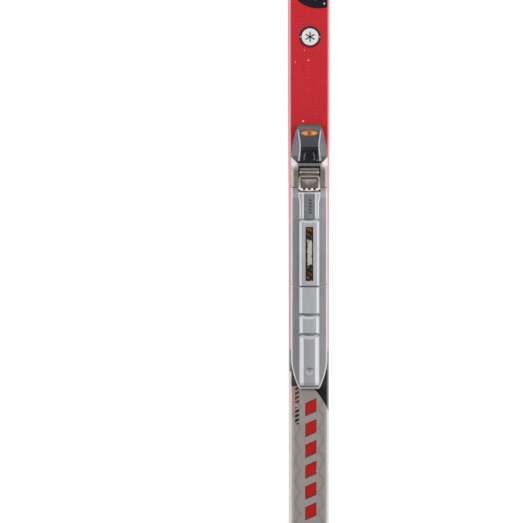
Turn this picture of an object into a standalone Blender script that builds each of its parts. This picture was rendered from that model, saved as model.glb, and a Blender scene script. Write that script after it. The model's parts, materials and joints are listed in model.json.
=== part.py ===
"""Cross country ski with a step-in toe binding, as an assembly of separate pieces.

Frame: X across the ski, +Y towards the tip, +Z up, base down. The origin is in the middle
of the ski's length and width, on the plane that the base rests on. The binding is laid out
from the boot bar's axis: its own y is measured from that axis and its own z from the deck.
"""

import math

import bmesh
import bpy
from mathutils import Matrix, Vector

# ---- ski body, metres
HALF_LENGTH = 0.950
TIP_END = 0.9500
TIP_POINT = 0.9535
TAIL_END = -0.9397
FRONT_CONTACT = (0.500, 0.700)
REAR_CONTACT = (-0.900, -0.800)
FLAT_DECK = (-0.320, 0.045)
CAMBER = 0.012
TIP_RISE = 0.108
TIP_RISE_POWER = 2.3
TAIL_RISE = 0.010
MID_THICKNESS = 0.024
END_THICKNESS = 0.0085
TIP_THICKNESS = 0.0065
WAIST_HALF = 0.0229
PLATES_HALF = 0.0233
BINDING_HALF = 0.0242
SHOVEL_HALF = 0.0253
HEEL_HALF = 0.0237
TIP_TAPER_START = 0.740
GAP = 0.0003

# ---- layers of the ski body
BASE_THICKNESS = 0.0012
GROOVE_HALF = 0.0022
GROOVE_FLOOR_HALF = 0.0012
GROOVE_DEPTH = 0.0006
GROOVE_FADE = (0.740, 0.860)
EDGE_WIDTH = 0.0020
EDGE_HEIGHT = 0.0018
EDGE_END = 0.8997
LAMINATE = 0.0007
LAMINATE_INSET = 0.0056
CORE_INSET = (0.0024, 0.0046)
CAP_TOP_WALL = 0.0013
CAP_SIDE_WALL = 0.0016
CAP_SHOULDER = 0.0029
CAP_SIDE = ((0.0004, 0.60), (0.0008, 0.76), (0.0015, 0.88), (0.0022, 0.96))
NARROW_HALF = 0.012
LAYERS_END = 0.8850
TAIL_LAYERS_END = -0.9250
TIP_SPACER_END = 0.9380
INSERT_Y = (-0.315, 0.040)
INSERT_HALF = 0.0150
INSERT_THICKNESS = 0.0015

# ---- binding datum
BAR_Y = -0.045
DECK_Z = CAMBER + MID_THICKNESS
BAR_HEIGHT = 0.0070
BAR_CHANNEL_RADIUS = 0.0023

# ---- toe housing
HOUSING_REAR = -0.0140
HOUSING_FRONT = 0.0550
HOUSING_HALF = 0.0210
SLAB_TOP = 0.0030
POCKET_HALF = 0.0128
BRIDGE_Y = (0.0098, 0.0132)
BRIDGE_Z = (0.0097, 0.0117)
STOP_Y = (0.0383, 0.0408)
SLIDE_AXIS_Z = 0.0052
EAR_X = (0.0080, 0.0105)

# ---- release lever and its hinge
LEVER_FRONT = 0.0575
LEVER_REAR = 0.0154
LEVER_WALL = 0.0016
PIVOT_Y = 0.0500
PIVOT_Z = 0.0075
PIN_RADIUS = 0.0014
PIN_HALF = 0.0112
LUG_X = (0.0048, 0.0074)
LUG_RADIUS = 0.0030
PAD_Y = (0.0142, 0.0316)
PAD_BOW = 0.0011
PAD_HALF = (0.0109, 0.0094)
PAD_LOW = 0.0122
PAD_DEPTH = 0.0036
PAD_MARGIN = 0.0006
PAD_SLOPE = 0.0034
BADGE_Y = 0.0474
BADGE_HALF = (0.0100, 0.0031)
BADGE_THICKNESS = 0.0008

# ---- jaw, spring and seat
JAW_HALF = 0.0110
TONGUE_FRONT = 0.0260
TONGUE_TOP = 0.0068
RAMP_X = (0.0064, 0.0094)
RAMP_Y = (0.0134, 0.0181)
RAMP_LOW = 0.0043
RAMP_SLOPE = 0.96
RAMP_BLOCK_FRONT = 0.0194
RIB_Y = (0.0172, 0.0186)
RIB_GAP = 0.0005
GUIDE_RADIUS = 0.0008
GUIDE_BORE = 0.0012
GUIDE_REAR = 0.0240
GUIDE_BORE_DEPTH = 0.0080
SPRING_RADIUS = 0.0016
SPRING_WIRE = 0.0003
SPRING_TURNS = 6
SEAT_HALF = 0.0096
FLEXOR_HALF = 0.0095
TOOTH_X = (-0.0060, 0.0, 0.0060)

# ---- guide plates
PLATE_HALF = 0.0208
PLATE_TOP = 0.0030
PLATE_RIM = 0.0014
RIDGE_TOP = 0.0090
RIDGE_ROOT = 0.0015
BAY_TOP = 0.0070
RIDGE_FOOT = 0.0115
RIDGE_HEAD = 0.0090
FRONT_PLATE_Y = (-0.1254, -0.0145)
PLATE_JOINT_Y = -0.1276
FRONT_RIDGE_Y = (-0.0500, -0.0200)
PANEL_Y = (-0.1277, -0.0530)
INLAY_Y = (-0.0506, -0.0219)
INLAY_HALF = 0.0060
INLAY_FLOOR = 0.0072
LABEL_Y = (-0.1219, -0.0598)
LABEL_HALF = 0.0043
LABEL_FLOOR = 0.0084
HEEL_PLATE_Y = (-0.2458, -0.1257)
HEEL_TAPER_Y = -0.2120
HEEL_END_HALF = 0.0124
BLOCK_Y = ((-0.1592, -0.1288), (-0.1822, -0.1622), (-0.2420, -0.1852))
BLOCK_HEAD = (0.0083, 0.0078, 0.0066)
CRESCENT_SAG = 0.0022

# ---- screws
SHANK_RADIUS = 0.0020
SHANK_LENGTH = 0.0150
HEAD_RADIUS = 0.0038
HEAD_THICKNESS = 0.0013
TOE_SEAT_Z = 0.0013
PLATE_SEAT_Z = 0.0035
TOE_FRONT_SCREW = (0.0, 0.0447)
TOE_REAR_SCREW = (0.0066, -0.0090)
RIDGE_SCREW = (0.0, -0.0362)
HEEL_SCREW = (0.0, -0.2254)
PLUG_RADIUS = 0.0040
CIRCLE_POINTS = 16


# ---------------------------------------------------------------- shape helpers


def ease(t):
    """Half a cosine wave from 0 to 1, held at its ends."""
    t = min(max(t, 0.0), 1.0)
    return 0.5 - 0.5 * math.cos(math.pi * t)


def mix(a, b, t):
    return a + (b - a) * t


def loft(sections):
    """One closed solid through rings of points that all have the same count."""
    bm = bmesh.new()
    rings = [[bm.verts.new(p) for p in section] for section in sections]
    count = len(rings[0])
    for low, high in zip(rings, rings[1:]):
        for i in range(count):
            j = (i + 1) % count
            bm.faces.new((low[i], low[j], high[j], high[i]))
    bm.faces.new(reversed(rings[0]))
    bm.faces.new(rings[-1])
    bmesh.ops.recalc_face_normals(bm, faces=bm.faces)
    return bm


def slab(outline, low, high):
    """An outline of (x, y) points extruded upwards."""
    return loft([[(x, y, z) for x, y in outline] for z in (low, high)])


def bar(profile, low, high):
    """A profile of (y, z) points extruded across the ski."""
    return loft([[(x, y, z) for y, z in profile] for x in (low, high)])


def box(x_range, y_range, z_range):
    (x0, x1), (y0, y1), (z0, z1) = x_range, y_range, z_range
    return slab([(x0, y0), (x1, y0), (x1, y1), (x0, y1)], z0, z1)


def rod(start, end, radius, points=CIRCLE_POINTS):
    """A round bar between two points."""
    start, end = Vector(start), Vector(end)
    turn = (end - start).to_track_quat("Z", "Y").to_matrix()
    ring = [circle_point(radius, i / points) for i in range(points)]
    return loft([[centre + turn @ Vector((x, y, 0)) for x, y in ring] for centre in (start, end)])


def circle_point(radius, share):
    angle = 2 * math.pi * share
    return radius * math.cos(angle), radius * math.sin(angle)


def arc(centre, radius, start, end, points):
    """Points on a circle, angles in degrees."""
    angles = [math.radians(mix(start, end, i / (points - 1))) for i in range(points)]
    return [(centre[0] + radius * math.cos(a), centre[1] + radius * math.sin(a)) for a in angles]


def mirrored(points):
    """A half outline on +x, completed by its mirror image on -x."""
    return list(points) + [(-x, other) for x, other in reversed(points) if abs(x) > 1e-9]


def to_mesh(bm, name):
    bmesh.ops.remove_doubles(bm, verts=bm.verts, dist=1e-6)
    bmesh.ops.recalc_face_normals(bm, faces=bm.faces)
    mesh = bpy.data.meshes.new(name)
    bm.to_mesh(mesh)
    bm.free()
    return mesh


def combine(body, tools, operation):
    """Apply boolean tools to a body one after another."""
    for tool in tools:
        guides = []
        for bm in (body, tool):
            guide = bpy.data.objects.new("guide", to_mesh(bm, "guide"))
            bpy.context.collection.objects.link(guide)
            guides.append(guide)
        modifier = guides[0].modifiers.new("tool", "BOOLEAN")
        modifier.operation = operation
        modifier.object = guides[1]
        graph = bpy.context.evaluated_depsgraph_get()
        body = bmesh.new()
        body.from_mesh(guides[0].evaluated_get(graph).to_mesh())
        # a face with a hole comes back as one outline with a slit, which welding would close
        bmesh.ops.triangulate(body, faces=body.faces)
        for guide in guides:
            bpy.data.objects.remove(guide)
    return body


def union(body, *tools):
    return combine(body, tools, "UNION")


def cut(body, *tools):
    return combine(body, tools, "DIFFERENCE")


# ---------------------------------------------------------------- materials and objects


def material(name, colour, roughness, metallic=0.0):
    made = bpy.data.materials.new(name)
    made.use_nodes = True
    shader = made.node_tree.nodes["Principled BSDF"]
    shader.inputs["Base Color"].default_value = (*colour, 1.0)
    shader.inputs["Roughness"].default_value = roughness
    shader.inputs["Metallic"].default_value = metallic
    return made


def add_empty(name, location, parent=None):
    empty = bpy.data.objects.new(name, None)
    empty.location = location
    empty.parent = parent
    bpy.context.collection.objects.link(empty)
    return empty


def add_piece(name, bm, finish, parent=None, origin=(0.0, 0.0, 0.0), smooth_angle=None):
    """Make the named piece. Its mesh is given round the parent's origin."""
    mesh = to_mesh(bm, name)
    mesh.transform(Matrix.Translation(-Vector(origin)))
    if smooth_angle is not None:
        mesh.shade_smooth()
        mesh.set_sharp_from_angle(angle=math.radians(smooth_angle))
    piece = bpy.data.objects.new(name, mesh)
    piece.location = origin
    piece.parent = parent
    piece.data.materials.append(finish)
    bpy.context.collection.objects.link(piece)
    return piece


# ---------------------------------------------------------------- ski body


def base_height(y):
    """Height of the base: camber arch, flat contact zones, upturned tip and tail."""
    if y > FRONT_CONTACT[1]:
        share = (y - FRONT_CONTACT[1]) / (HALF_LENGTH - FRONT_CONTACT[1])
        return TIP_RISE * share**TIP_RISE_POWER
    if y < REAR_CONTACT[0]:
        share = (REAR_CONTACT[0] - y) / (HALF_LENGTH + REAR_CONTACT[0])
        return TAIL_RISE * share**2
    if y > FLAT_DECK[1]:
        return CAMBER * ease((FRONT_CONTACT[0] - y) / (FRONT_CONTACT[0] - FLAT_DECK[1]))
    return CAMBER * ease((y - REAR_CONTACT[1]) / (FLAT_DECK[0] - REAR_CONTACT[1]))


def thickness(y):
    if y > FRONT_CONTACT[1]:
        share = (y - FRONT_CONTACT[1]) / (HALF_LENGTH - FRONT_CONTACT[1])
        return mix(END_THICKNESS, TIP_THICKNESS, share)
    if y > FLAT_DECK[1]:
        share = (y - FLAT_DECK[1]) / (FRONT_CONTACT[1] - FLAT_DECK[1])
    else:
        share = (FLAT_DECK[0] - y) / (FLAT_DECK[0] - REAR_CONTACT[0])
    return mix(MID_THICKNESS, END_THICKNESS, ease(share))


def half_width(y):
    """Half the width of the ski: sidecut, tapered tip and slightly narrowed tail."""
    stations = (
        (REAR_CONTACT[0], HEEL_HALF),
        (-0.450, WAIST_HALF),
        (-0.150, PLATES_HALF),
        (0.050, BINDING_HALF),
        (FRONT_CONTACT[1], SHOVEL_HALF),
    )
    if y <= stations[0][0]:
        share = (stations[0][0] - y) / (HALF_LENGTH + stations[0][0])
        return HEEL_HALF * (1 - 0.30 * share**2)
    if y >= TIP_TAPER_START:
        share = (y - TIP_TAPER_START) / (TIP_POINT - TIP_TAPER_START)
        return SHOVEL_HALF * (1 - share**2.2) ** 0.6
    for (y0, w0), (y1, w1) in zip(stations, stations[1:]):
        if y <= y1:
            return mix(w0, w1, ease((y - y0) / (y1 - y0)))
    return SHOVEL_HALF


def stations(start, end):
    """Lengthwise stations, closer together where the tip and the tail curve."""
    body = [-0.850 + 0.050 * i for i in range(31)]
    body += [FLAT_DECK[0], FLAT_DECK[1]]
    tail = [-0.925, -0.912, REAR_CONTACT[0], -0.880]
    tip = [0.700 + 0.020 * i for i in range(10)]
    nose = [0.900, 0.913, 0.925, 0.935, 0.944]
    inner = sorted(set(round(y, 4) for y in body + tail + tip + nose))
    return [start] + [y for y in inner if start + 0.002 < y < end - 0.002] + [end]


def ski_loft(half_section, start, end):
    """Loft a section, given as (x, z above the base) on +x, along the ski."""
    rings = []
    for y in stations(start, end):
        low = base_height(y)
        rings.append([(x, y, low + z) for x, z in mirrored(half_section(y))])
    return loft(rings)


def inset(y, amount):
    """A point this far in from the ski's side, shrunk where the tip gets narrow."""
    half = half_width(y)
    return half - amount * min(1.0, half / NARROW_HALF)


def cap_section(y):
    """Half of the cap's U: out along its inner side, then back over its outer side."""
    foot = EDGE_HEIGHT + GAP
    ceiling = thickness(y) - CAP_TOP_WALL
    inner = [
        (0.0, ceiling),
        (inset(y, CAP_SHOULDER + CAP_SIDE_WALL), ceiling),
        (inset(y, CAP_SHOULDER + 0.0004), ceiling - 0.0010),
        (inset(y, CAP_SIDE_WALL), foot),
    ]
    return inner + [(inset(y, 0.0002), foot)] + outer_side(y)


def outer_side(y):
    """The slanted side and rounded shoulder that the cap and the end piece share."""
    top = thickness(y)
    side = [(inset(y, amount), share * top) for amount, share in CAP_SIDE]
    return side + [(inset(y, CAP_SHOULDER), top), (0.0, top)]


def base_section(y):
    side = EDGE_WIDTH + GAP if y <= EDGE_END + GAP else 0.0002
    depth = GROOVE_DEPTH * (1 - ease((y - GROOVE_FADE[0]) / (GROOVE_FADE[1] - GROOVE_FADE[0])))
    narrow = min(1.0, half_width(y) / NARROW_HALF)
    return [
        (0.0, depth),
        (GROOVE_FLOOR_HALF * narrow, depth),
        (GROOVE_HALF * narrow, 0.0),
        (inset(y, side), 0.0),
        (inset(y, side), BASE_THICKNESS),
        (0.0, BASE_THICKNESS),
    ]


def sheet_section(low, high, side):
    """A flat layer between two heights, given as functions of y."""

    def section(y):
        return [(0.0, low(y)), (inset(y, side), low(y)), (inset(y, side), high(y)), (0.0, high(y))]

    return section


def lower_sheet(y):
    return BASE_THICKNESS + GAP


def core_bottom(y):
    return BASE_THICKNESS + LAMINATE + 2 * GAP


def upper_sheet(y):
    return thickness(y) - CAP_TOP_WALL - GAP - LAMINATE


def core_section(y):
    low = core_bottom(y)
    high = upper_sheet(y) - GAP
    wide, narrow = CORE_INSET
    return [(0.0, low), (inset(y, wide), low), (inset(y, narrow), high), (0.0, high)]


def edge_strip(side):
    rings = []
    for y in stations(TAIL_END, EDGE_END):
        low = base_height(y)
        outer, inner = side * inset(y, 0.0), side * inset(y, EDGE_WIDTH)
        top = low + EDGE_HEIGHT
        rings.append([(inner, y, low), (outer, y, low), (outer, y, top), (inner, y, top)])
    return loft(rings)


def screw_places():
    """Name, x, y and height of the surface under each screw's head."""
    x, y = TOE_REAR_SCREW
    return (
        ("toe_screw_front", *TOE_FRONT_SCREW, TOE_SEAT_Z),
        ("toe_screw_left", -x, y, TOE_SEAT_Z),
        ("toe_screw_right", x, y, TOE_SEAT_Z),
        ("ridge_screw", *RIDGE_SCREW, PLATE_SEAT_Z),
        ("heel_screw", *HEEL_SCREW, PLATE_SEAT_Z),
    )


def shank_holes(depth, high):
    """Clearance holes for every screw, in the binding's own coordinates."""
    return [
        rod((x, y, -depth), (x, y, high), SHANK_RADIUS + GAP)
        for _, x, y, _ in screw_places()
    ]


def shifted(bodies, offset):
    for bm in bodies:
        bmesh.ops.translate(bm, verts=bm.verts, vec=offset)
    return bodies


def ski_screw_holes():
    return shifted(shank_holes(SHANK_LENGTH, 0.002), (0.0, BAR_Y, DECK_Z))


def insert_plate(grow):
    """The screw-holding plate, or its pocket in the core when grown by a gap."""
    top = DECK_Z - CAP_TOP_WALL - LAMINATE - 2 * GAP
    corner = 0.006
    outline = []
    half = INSERT_HALF + grow
    y0, y1 = INSERT_Y[0] - grow, INSERT_Y[1] + grow
    for x, y, start in (
        (half - corner, y1 - corner, 0),
        (-half + corner, y1 - corner, 90),
        (-half + corner, y0 + corner, 180),
        (half - corner, y0 + corner, 270),
    ):
        outline += arc((x, y), corner, start, start + 90, 4)
    lift = 0.001 if grow else 0.0
    return slab(outline, top - INSERT_THICKNESS - grow, top + lift)


def build_ski_body(finish):
    add_piece("base_sole", ski_loft(base_section, TAIL_END, TIP_END), finish["base"])
    add_piece("edge_strip_left", edge_strip(-1), finish["edge"])
    add_piece("edge_strip_right", edge_strip(1), finish["edge"])
    lower = ski_loft(
        sheet_section(lower_sheet, lambda y: lower_sheet(y) + LAMINATE, EDGE_WIDTH + GAP),
        TAIL_LAYERS_END,
        LAYERS_END,
    )
    add_piece("lower_laminate", lower, finish["laminate"])
    upper = ski_loft(
        sheet_section(upper_sheet, lambda y: upper_sheet(y) + LAMINATE, LAMINATE_INSET),
        TAIL_LAYERS_END,
        LAYERS_END,
    )
    add_piece("upper_laminate", cut(upper, *ski_screw_holes()), finish["laminate"])
    core = ski_loft(core_section, TAIL_LAYERS_END, LAYERS_END)
    add_piece("core", cut(core, insert_plate(GAP), *ski_screw_holes()), finish["core"])
    plate = cut(insert_plate(0.0), *ski_screw_holes())
    add_piece("binding_insert_plate", plate, finish["insert"])
    cap = ski_loft(cap_section, TAIL_END, TIP_END)
    add_piece("top_cap", cut(cap, *ski_screw_holes()), finish["cap"], smooth_angle=35)
    build_tip_and_tail(finish)


def filler_section(y):
    """The room between the base and the cap, less a gap all round."""
    low = BASE_THICKNESS + GAP
    high = thickness(y) - CAP_TOP_WALL - GAP
    wide, narrow = CORE_INSET[0] + GAP, LAMINATE_INSET
    return [(0.0, low), (inset(y, wide), low), (inset(y, narrow), high), (0.0, high)]


def end_section(y):
    """The full outline of the ski, for the piece that closes the tail."""
    return [(0.0, 0.0), (inset(y, 0.0003), 0.0)] + outer_side(y)


def build_tip_and_tail(finish):
    spacer = ski_loft(filler_section, LAYERS_END + GAP, TIP_SPACER_END)
    add_piece("tip_spacer", spacer, finish["edge"])
    tongue = ski_loft(filler_section, TAIL_END - 0.002, TAIL_LAYERS_END - GAP)
    end_piece = ski_loft(end_section, -HALF_LENGTH, TAIL_END - GAP)
    add_piece("tail_protector", union(end_piece, tongue), finish["protector"])


# ---------------------------------------------------------------- release lever

# Stations along the lever, front to rear: y, half width of the outline, half width between
# the ridge lines, height of the centre panel, height of the outline's edge
LEVER_STATIONS = (
    (LEVER_FRONT, 0.0112, 0.0100, 0.0072, 0.0062),
    (0.0566, 0.0129, 0.0114, 0.0094, 0.0071),
    (0.0544, 0.0143, 0.0125, 0.0114, 0.0079),
    (0.0500, 0.0156, 0.0127, 0.0131, 0.0085),
    (0.0440, 0.0172, 0.0121, 0.0146, 0.0091),
    (0.0380, 0.0187, 0.0113, 0.0155, 0.0096),
    (0.0330, 0.0197, 0.0109, 0.0161, 0.0100),
    (0.0270, 0.0204, 0.0111, 0.0165, 0.0103),
    (0.0213, 0.0207, 0.0117, 0.0168, 0.0105),
    (0.0166, 0.0149, 0.0121, 0.0169, 0.0128),
    (LEVER_REAR, 0.0132, 0.0122, 0.0167, 0.0138),
)
LEVER_RIDGE = 0.0007
LEVER_SKIRT_FRONT = 0.0036
LEVER_SKIRT_REAR = 0.0116
LEVER_SKIRT_MIDDLE = 0.0074


def skirt_height(y):
    """Lower edge of the lever: it rises to the rear, to leave room for the press."""
    if y > 0.0213:
        return mix(LEVER_SKIRT_MIDDLE, LEVER_SKIRT_FRONT, ease((y - 0.0213) / 0.028))
    return mix(LEVER_SKIRT_REAR, LEVER_SKIRT_MIDDLE, (y - LEVER_REAR) / (0.0213 - LEVER_REAR))


def lever_ring(y, outline, ridge, centre, edge, wall):
    """The lever's section. A wall above zero gives the hollow inside it."""
    foot = -0.002 if wall else skirt_height(y)
    top = centre - wall
    half = [
        (0.0, top),
        (ridge - 0.0012 - 0.3 * wall, top),
        (ridge - 0.0003 - 0.5 * wall, top + (0.0 if wall else LEVER_RIDGE)),
        (ridge + 0.0005 - 0.6 * wall, top + (0.0 if wall else LEVER_RIDGE)),
        (outline - 0.0004 - wall, edge - 0.4 * wall),
        (outline - wall, edge - 0.0008 - 0.4 * wall),
        (outline - wall, foot),
        (0.0, foot),
    ]
    return [(x, y, z) for x, z in mirrored(half)]


def lever_shell():
    outer = loft([lever_ring(*station, 0.0) for station in LEVER_STATIONS])
    inner_stations = LEVER_STATIONS[1:-1]
    hollow = [lever_ring(*station, LEVER_WALL) for station in inner_stations]
    return cut(outer, loft(hollow))


def badge_outline(grow):
    """A pointed oval: two shallow arcs that meet at blunt ends."""
    half_x, half_y = BADGE_HALF
    points = []
    for i in range(24):
        angle = 2 * math.pi * i / 24
        x = (half_x + grow) * math.cos(angle)
        y = (half_y + grow) * math.copysign(abs(math.sin(angle)) ** 1.25, math.sin(angle))
        points.append((x, BADGE_Y + y))
    return points


def lever_top(y):
    """Height of the lever's centre panel."""
    for front, rear in zip(LEVER_STATIONS, LEVER_STATIONS[1:]):
        if y >= rear[0]:
            return mix(rear[3], front[3], (y - rear[0]) / (front[0] - rear[0]))
    return LEVER_STATIONS[-1][3]


def badge_body(grow, lift):
    """The badge follows the slope of the lever's panel, sunk by its thickness."""
    drop = BADGE_THICKNESS + grow
    low = [(x, y, lever_top(y) - drop) for x, y in badge_outline(grow)]
    high = [(x, y, lever_top(y) + lift) for x, y in badge_outline(grow)]
    return loft([low, high])


def ramp_height(y):
    """Top of the jaw's ramp, which the lever's ribs press on."""
    return RAMP_LOW + RAMP_SLOPE * (y - RAMP_Y[0])


def pad_half(y):
    """Half width of the pad, which narrows to the front and has a bowed rear edge."""
    share = (y - PAD_Y[0]) / (PAD_Y[1] - PAD_Y[0])
    bow = min(1.0, 0.1 + (y - PAD_Y[0]) / PAD_BOW)
    return mix(PAD_HALF[0], PAD_HALF[1], share) * math.sqrt(bow)


def dish_ring(y):
    """The dish's section: two sloped sides and a flat floor."""
    top = lever_top(y)
    share = (y - PAD_Y[0]) / (PAD_Y[1] - PAD_Y[0])
    depth = PAD_DEPTH * math.sin(math.pi * mix(0.14, 0.97, share))
    side = pad_half(y) - PAD_MARGIN
    floor = side - PAD_SLOPE
    half = [(side, y, top + 0.0010), (floor, y, top - depth)]
    return half + [(-x, y, z) for x, y, z in reversed(half)]


def pole_pad():
    """Black dish for the pole's tip, with two cam ribs under it."""
    rear, front = PAD_Y
    ys = [rear, rear + 0.0003, rear + 0.0006, rear + PAD_BOW]
    ys += [mix(rear + PAD_BOW, front, i / 6) for i in range(1, 7)]
    rings = []
    for y in ys:
        half, top = pad_half(y), lever_top(y)
        rings.append([(-half, y, PAD_LOW), (half, y, PAD_LOW), (half, y, top), (-half, y, top)])
    dish_ys = [rear + PAD_BOW + 0.0001] + ys[4:-1] + [front - PAD_MARGIN]
    shell = cut(loft(rings), loft([dish_ring(y) for y in dish_ys]))
    y0, y1 = RIB_Y
    profile = [
        (y0, ramp_height(y0) + RIB_GAP),
        (y1, ramp_height(y1) + RIB_GAP),
        (y1, PAD_LOW + GAP),
        (y0, PAD_LOW + GAP),
    ]
    inner, outer = RAMP_X
    ribs = [bar(profile, side * (inner + GAP), side * outer) for side in (1, -1)]
    return union(shell, *ribs)


def pad_opening():
    """Trapezoid hole through the lever's top, open at the rear."""
    rear, front = PAD_Y[0] - 0.0020, PAD_Y[1] + GAP
    wide, narrow = PAD_HALF[0] + GAP, PAD_HALF[1] + GAP
    return slab([(wide, rear), (narrow, front), (-narrow, front), (-wide, rear)], 0.0100, 0.0200)


def pivot_rod(half, radius):
    return rod((-half, PIVOT_Y, PIVOT_Z), (half, PIVOT_Y, PIVOT_Z), radius)


def build_lever(finish, binding):
    pivot = add_empty("lever_pivot", (0.0, PIVOT_Y, PIVOT_Z), binding)
    lugs = []
    for side in (1, -1):
        inner, outer = side * LUG_X[0], side * LUG_X[1]
        round_part = [
            (PIVOT_Y + y, PIVOT_Z + z) for y, z in arc((0.0, 0.0), LUG_RADIUS, 180, 360, 9)
        ]
        ceiling = lever_top(PIVOT_Y) - 0.5 * LEVER_WALL
        front, rear = PIVOT_Y + LUG_RADIUS, PIVOT_Y - LUG_RADIUS
        lugs.append(bar(round_part + [(front, ceiling - 0.0012), (rear, ceiling)], inner, outer))
    shell = union(lever_shell(), *lugs)
    pin_hole = pivot_rod(EAR_X[1], PIN_RADIUS + GAP)
    shell = cut(shell, pad_opening(), badge_body(GAP, 0.002), pin_hole)
    shift = Matrix.Translation((0.0, -PIVOT_Y, -PIVOT_Z))
    pieces = (
        ("release_lever", shell, finish["lever"]),
        ("lever_badge", badge_body(0.0, 0.0), finish["badge"]),
        ("pole_tip_pad", pole_pad(), finish["pad"]),
    )
    for name, bm, look in pieces:
        bmesh.ops.transform(bm, matrix=shift, verts=bm.verts)
        add_piece(name, bm, look, pivot)
    add_piece("lever_pin", pivot_rod(PIN_HALF, PIN_RADIUS), finish["steel"], binding, smooth_angle=35)


# ---------------------------------------------------------------- toe housing


def housing_outline():
    """Plan of the housing's slab: full width at the rear, inside the lever at the front."""
    corner = 0.0030
    half = [(HOUSING_HALF, HOUSING_REAR), (HOUSING_HALF, 0.0205)]
    half += [(0.0198, 0.0220), (0.0168, 0.0380), (0.0138, 0.0505)]
    half += arc((0.0130 - corner, HOUSING_FRONT - corner), corner, 10, 90, 5)
    return half + [(-x, y) for x, y in reversed(half)]


def cheek(side):
    """Side wall beside the jaw, with the shoulder that rises to the bridge."""
    inner, outer = POCKET_HALF, HOUSING_HALF - 0.0001
    rings = []
    # y, inner x, shoulder x, outer x, shoulder height, outer height
    for y, x0, x1, x2, high, low in (
        (HOUSING_REAR + 0.0001, inner, 0.0180, outer, 0.0078, 0.0052),
        (0.0030, inner, 0.0180, outer, 0.0088, 0.0058),
        (0.0078, inner, 0.0172, outer, 0.0096, 0.0062),
        (BRIDGE_Y[0], inner, 0.0158, outer, BRIDGE_Z[1], 0.0066),
        (BRIDGE_Y[1], inner, 0.0150, outer, BRIDGE_Z[1], 0.0066),
        (0.0165, 0.0161, 0.0172, outer, 0.0100, 0.0064),
        (0.0200, 0.0203, 0.0206, outer, 0.0070, 0.0058),
    ):
        section = [(x0, 0.0015), (x2, 0.0015), (x2, low), (x1, high), (x0, high)]
        rings.append([(side * x, y, z) for x, z in section])
    return loft(rings)


def pin_ear(side):
    inner, outer = side * EAR_X[0], side * EAR_X[1]
    foot = 0.0042
    round_part = [
        (PIVOT_Y + y, PIVOT_Z + z) for y, z in arc((0.0, 0.0), 0.0027, 0, 180, 9)
    ]
    return bar(round_part + [(PIVOT_Y - foot, 0.0015), (PIVOT_Y + foot - 0.001, 0.0015)], inner, outer)


def build_housing(finish, binding):
    body = slab(housing_outline(), GAP, SLAB_TOP)
    bridge = box((-POCKET_HALF - 0.001, POCKET_HALF + 0.001), BRIDGE_Y, BRIDGE_Z)
    stop = box((-0.0036, 0.0036), STOP_Y, (0.0015, 0.0084))
    body = union(body, cheek(1), cheek(-1), bridge, pin_ear(1), pin_ear(-1), stop)
    guide_hole = rod((0.0, 0.037, SLIDE_AXIS_Z), (0.0, 0.042, SLIDE_AXIS_Z), GUIDE_RADIUS + GAP)
    cutters = [pivot_rod(0.03, PIN_RADIUS + GAP), guide_hole]
    for name, x, y, floor in screw_places():
        if name.startswith("toe"):
            cutters.append(rod((x, y, -0.001), (x, y, 0.010), SHANK_RADIUS + GAP))
            cutters.append(rod((x, y, floor), (x, y, 0.0045), HEAD_RADIUS + GAP))
    add_piece("toe_housing", cut(body, *cutters), finish["housing"], binding)


# ---------------------------------------------------------------- jaw, seat and flexor


def rib_groove(y):
    """A groove across the jaw's top, front edge first; it leaves a grip rib on each side."""
    top, bottom, half = 0.0092, 0.0079, 0.0007
    return [(y + half, top), (y + 0.6 * half, bottom), (y - 0.6 * half, bottom), (y - half, top)]


def build_jaw(finish, binding):
    front, floor = 0.0080, SLAB_TOP + GAP
    nose = arc((0.0, BAR_HEIGHT), BAR_CHANNEL_RADIUS, 60, -38, 9)
    profile = [
        (front, floor),
        (front, 0.0090),
        *rib_groove(0.0051),
        (0.0022, 0.0094),
        *nose,
        (0.0026, 0.0048),
        (0.0026, floor),
    ]
    head = bar(profile, -JAW_HALF, JAW_HALF)
    inner, outer = RAMP_X
    root = front - 0.0010
    tongue = box((-inner, inner), (root, TONGUE_FRONT), (floor + 0.0001, TONGUE_TOP))
    rear, high = RAMP_Y[0], ramp_height(RAMP_Y[1])
    flange = [
        (root, floor + 0.0002),
        (RAMP_BLOCK_FRONT, floor + 0.0002),
        (RAMP_BLOCK_FRONT, high),
        (RAMP_Y[1], high),
        (rear, RAMP_LOW),
        (root, RAMP_LOW),
    ]
    flanges = [bar(flange, side * (inner - 0.0004), side * outer) for side in (1, -1)]
    body = union(head, tongue, *flanges)
    z = SLIDE_AXIS_Z
    bore_end = TONGUE_FRONT - GUIDE_BORE_DEPTH
    bore = rod((0.0, bore_end, z), (0.0, TONGUE_FRONT + 0.002, z), GUIDE_BORE)
    add_piece("jaw", cut(body, bore), finish["jaw"], binding)


def spring_coil():
    """A round wire wound about the slide's axis, between the jaw and the stop."""
    per_turn, ring_points = 12, 6
    start, end = TONGUE_FRONT + GAP + SPRING_WIRE, STOP_Y[0] - GAP - SPRING_WIRE
    rings = []
    for i in range(SPRING_TURNS * per_turn + 1):
        share = i / (SPRING_TURNS * per_turn)
        angle = 2 * math.pi * SPRING_TURNS * share
        out = Vector((math.cos(angle), 0.0, math.sin(angle)))
        centre = out * SPRING_RADIUS + Vector((0.0, mix(start, end, share), SLIDE_AXIS_Z))
        ring = [circle_point(SPRING_WIRE, j / ring_points) for j in range(ring_points)]
        rings.append([centre + out * a + Vector((0.0, b, 0.0)) for a, b in ring])
    return loft(rings)


def build_spring(finish, binding):
    add_piece("jaw_spring", spring_coil(), finish["steel"], binding, smooth_angle=60)
    pin = rod((0.0, GUIDE_REAR, SLIDE_AXIS_Z), (0.0, 0.0414, SLIDE_AXIS_Z), GUIDE_RADIUS, 12)
    add_piece("spring_guide_pin", pin, finish["steel"], binding, smooth_angle=35)


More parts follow.
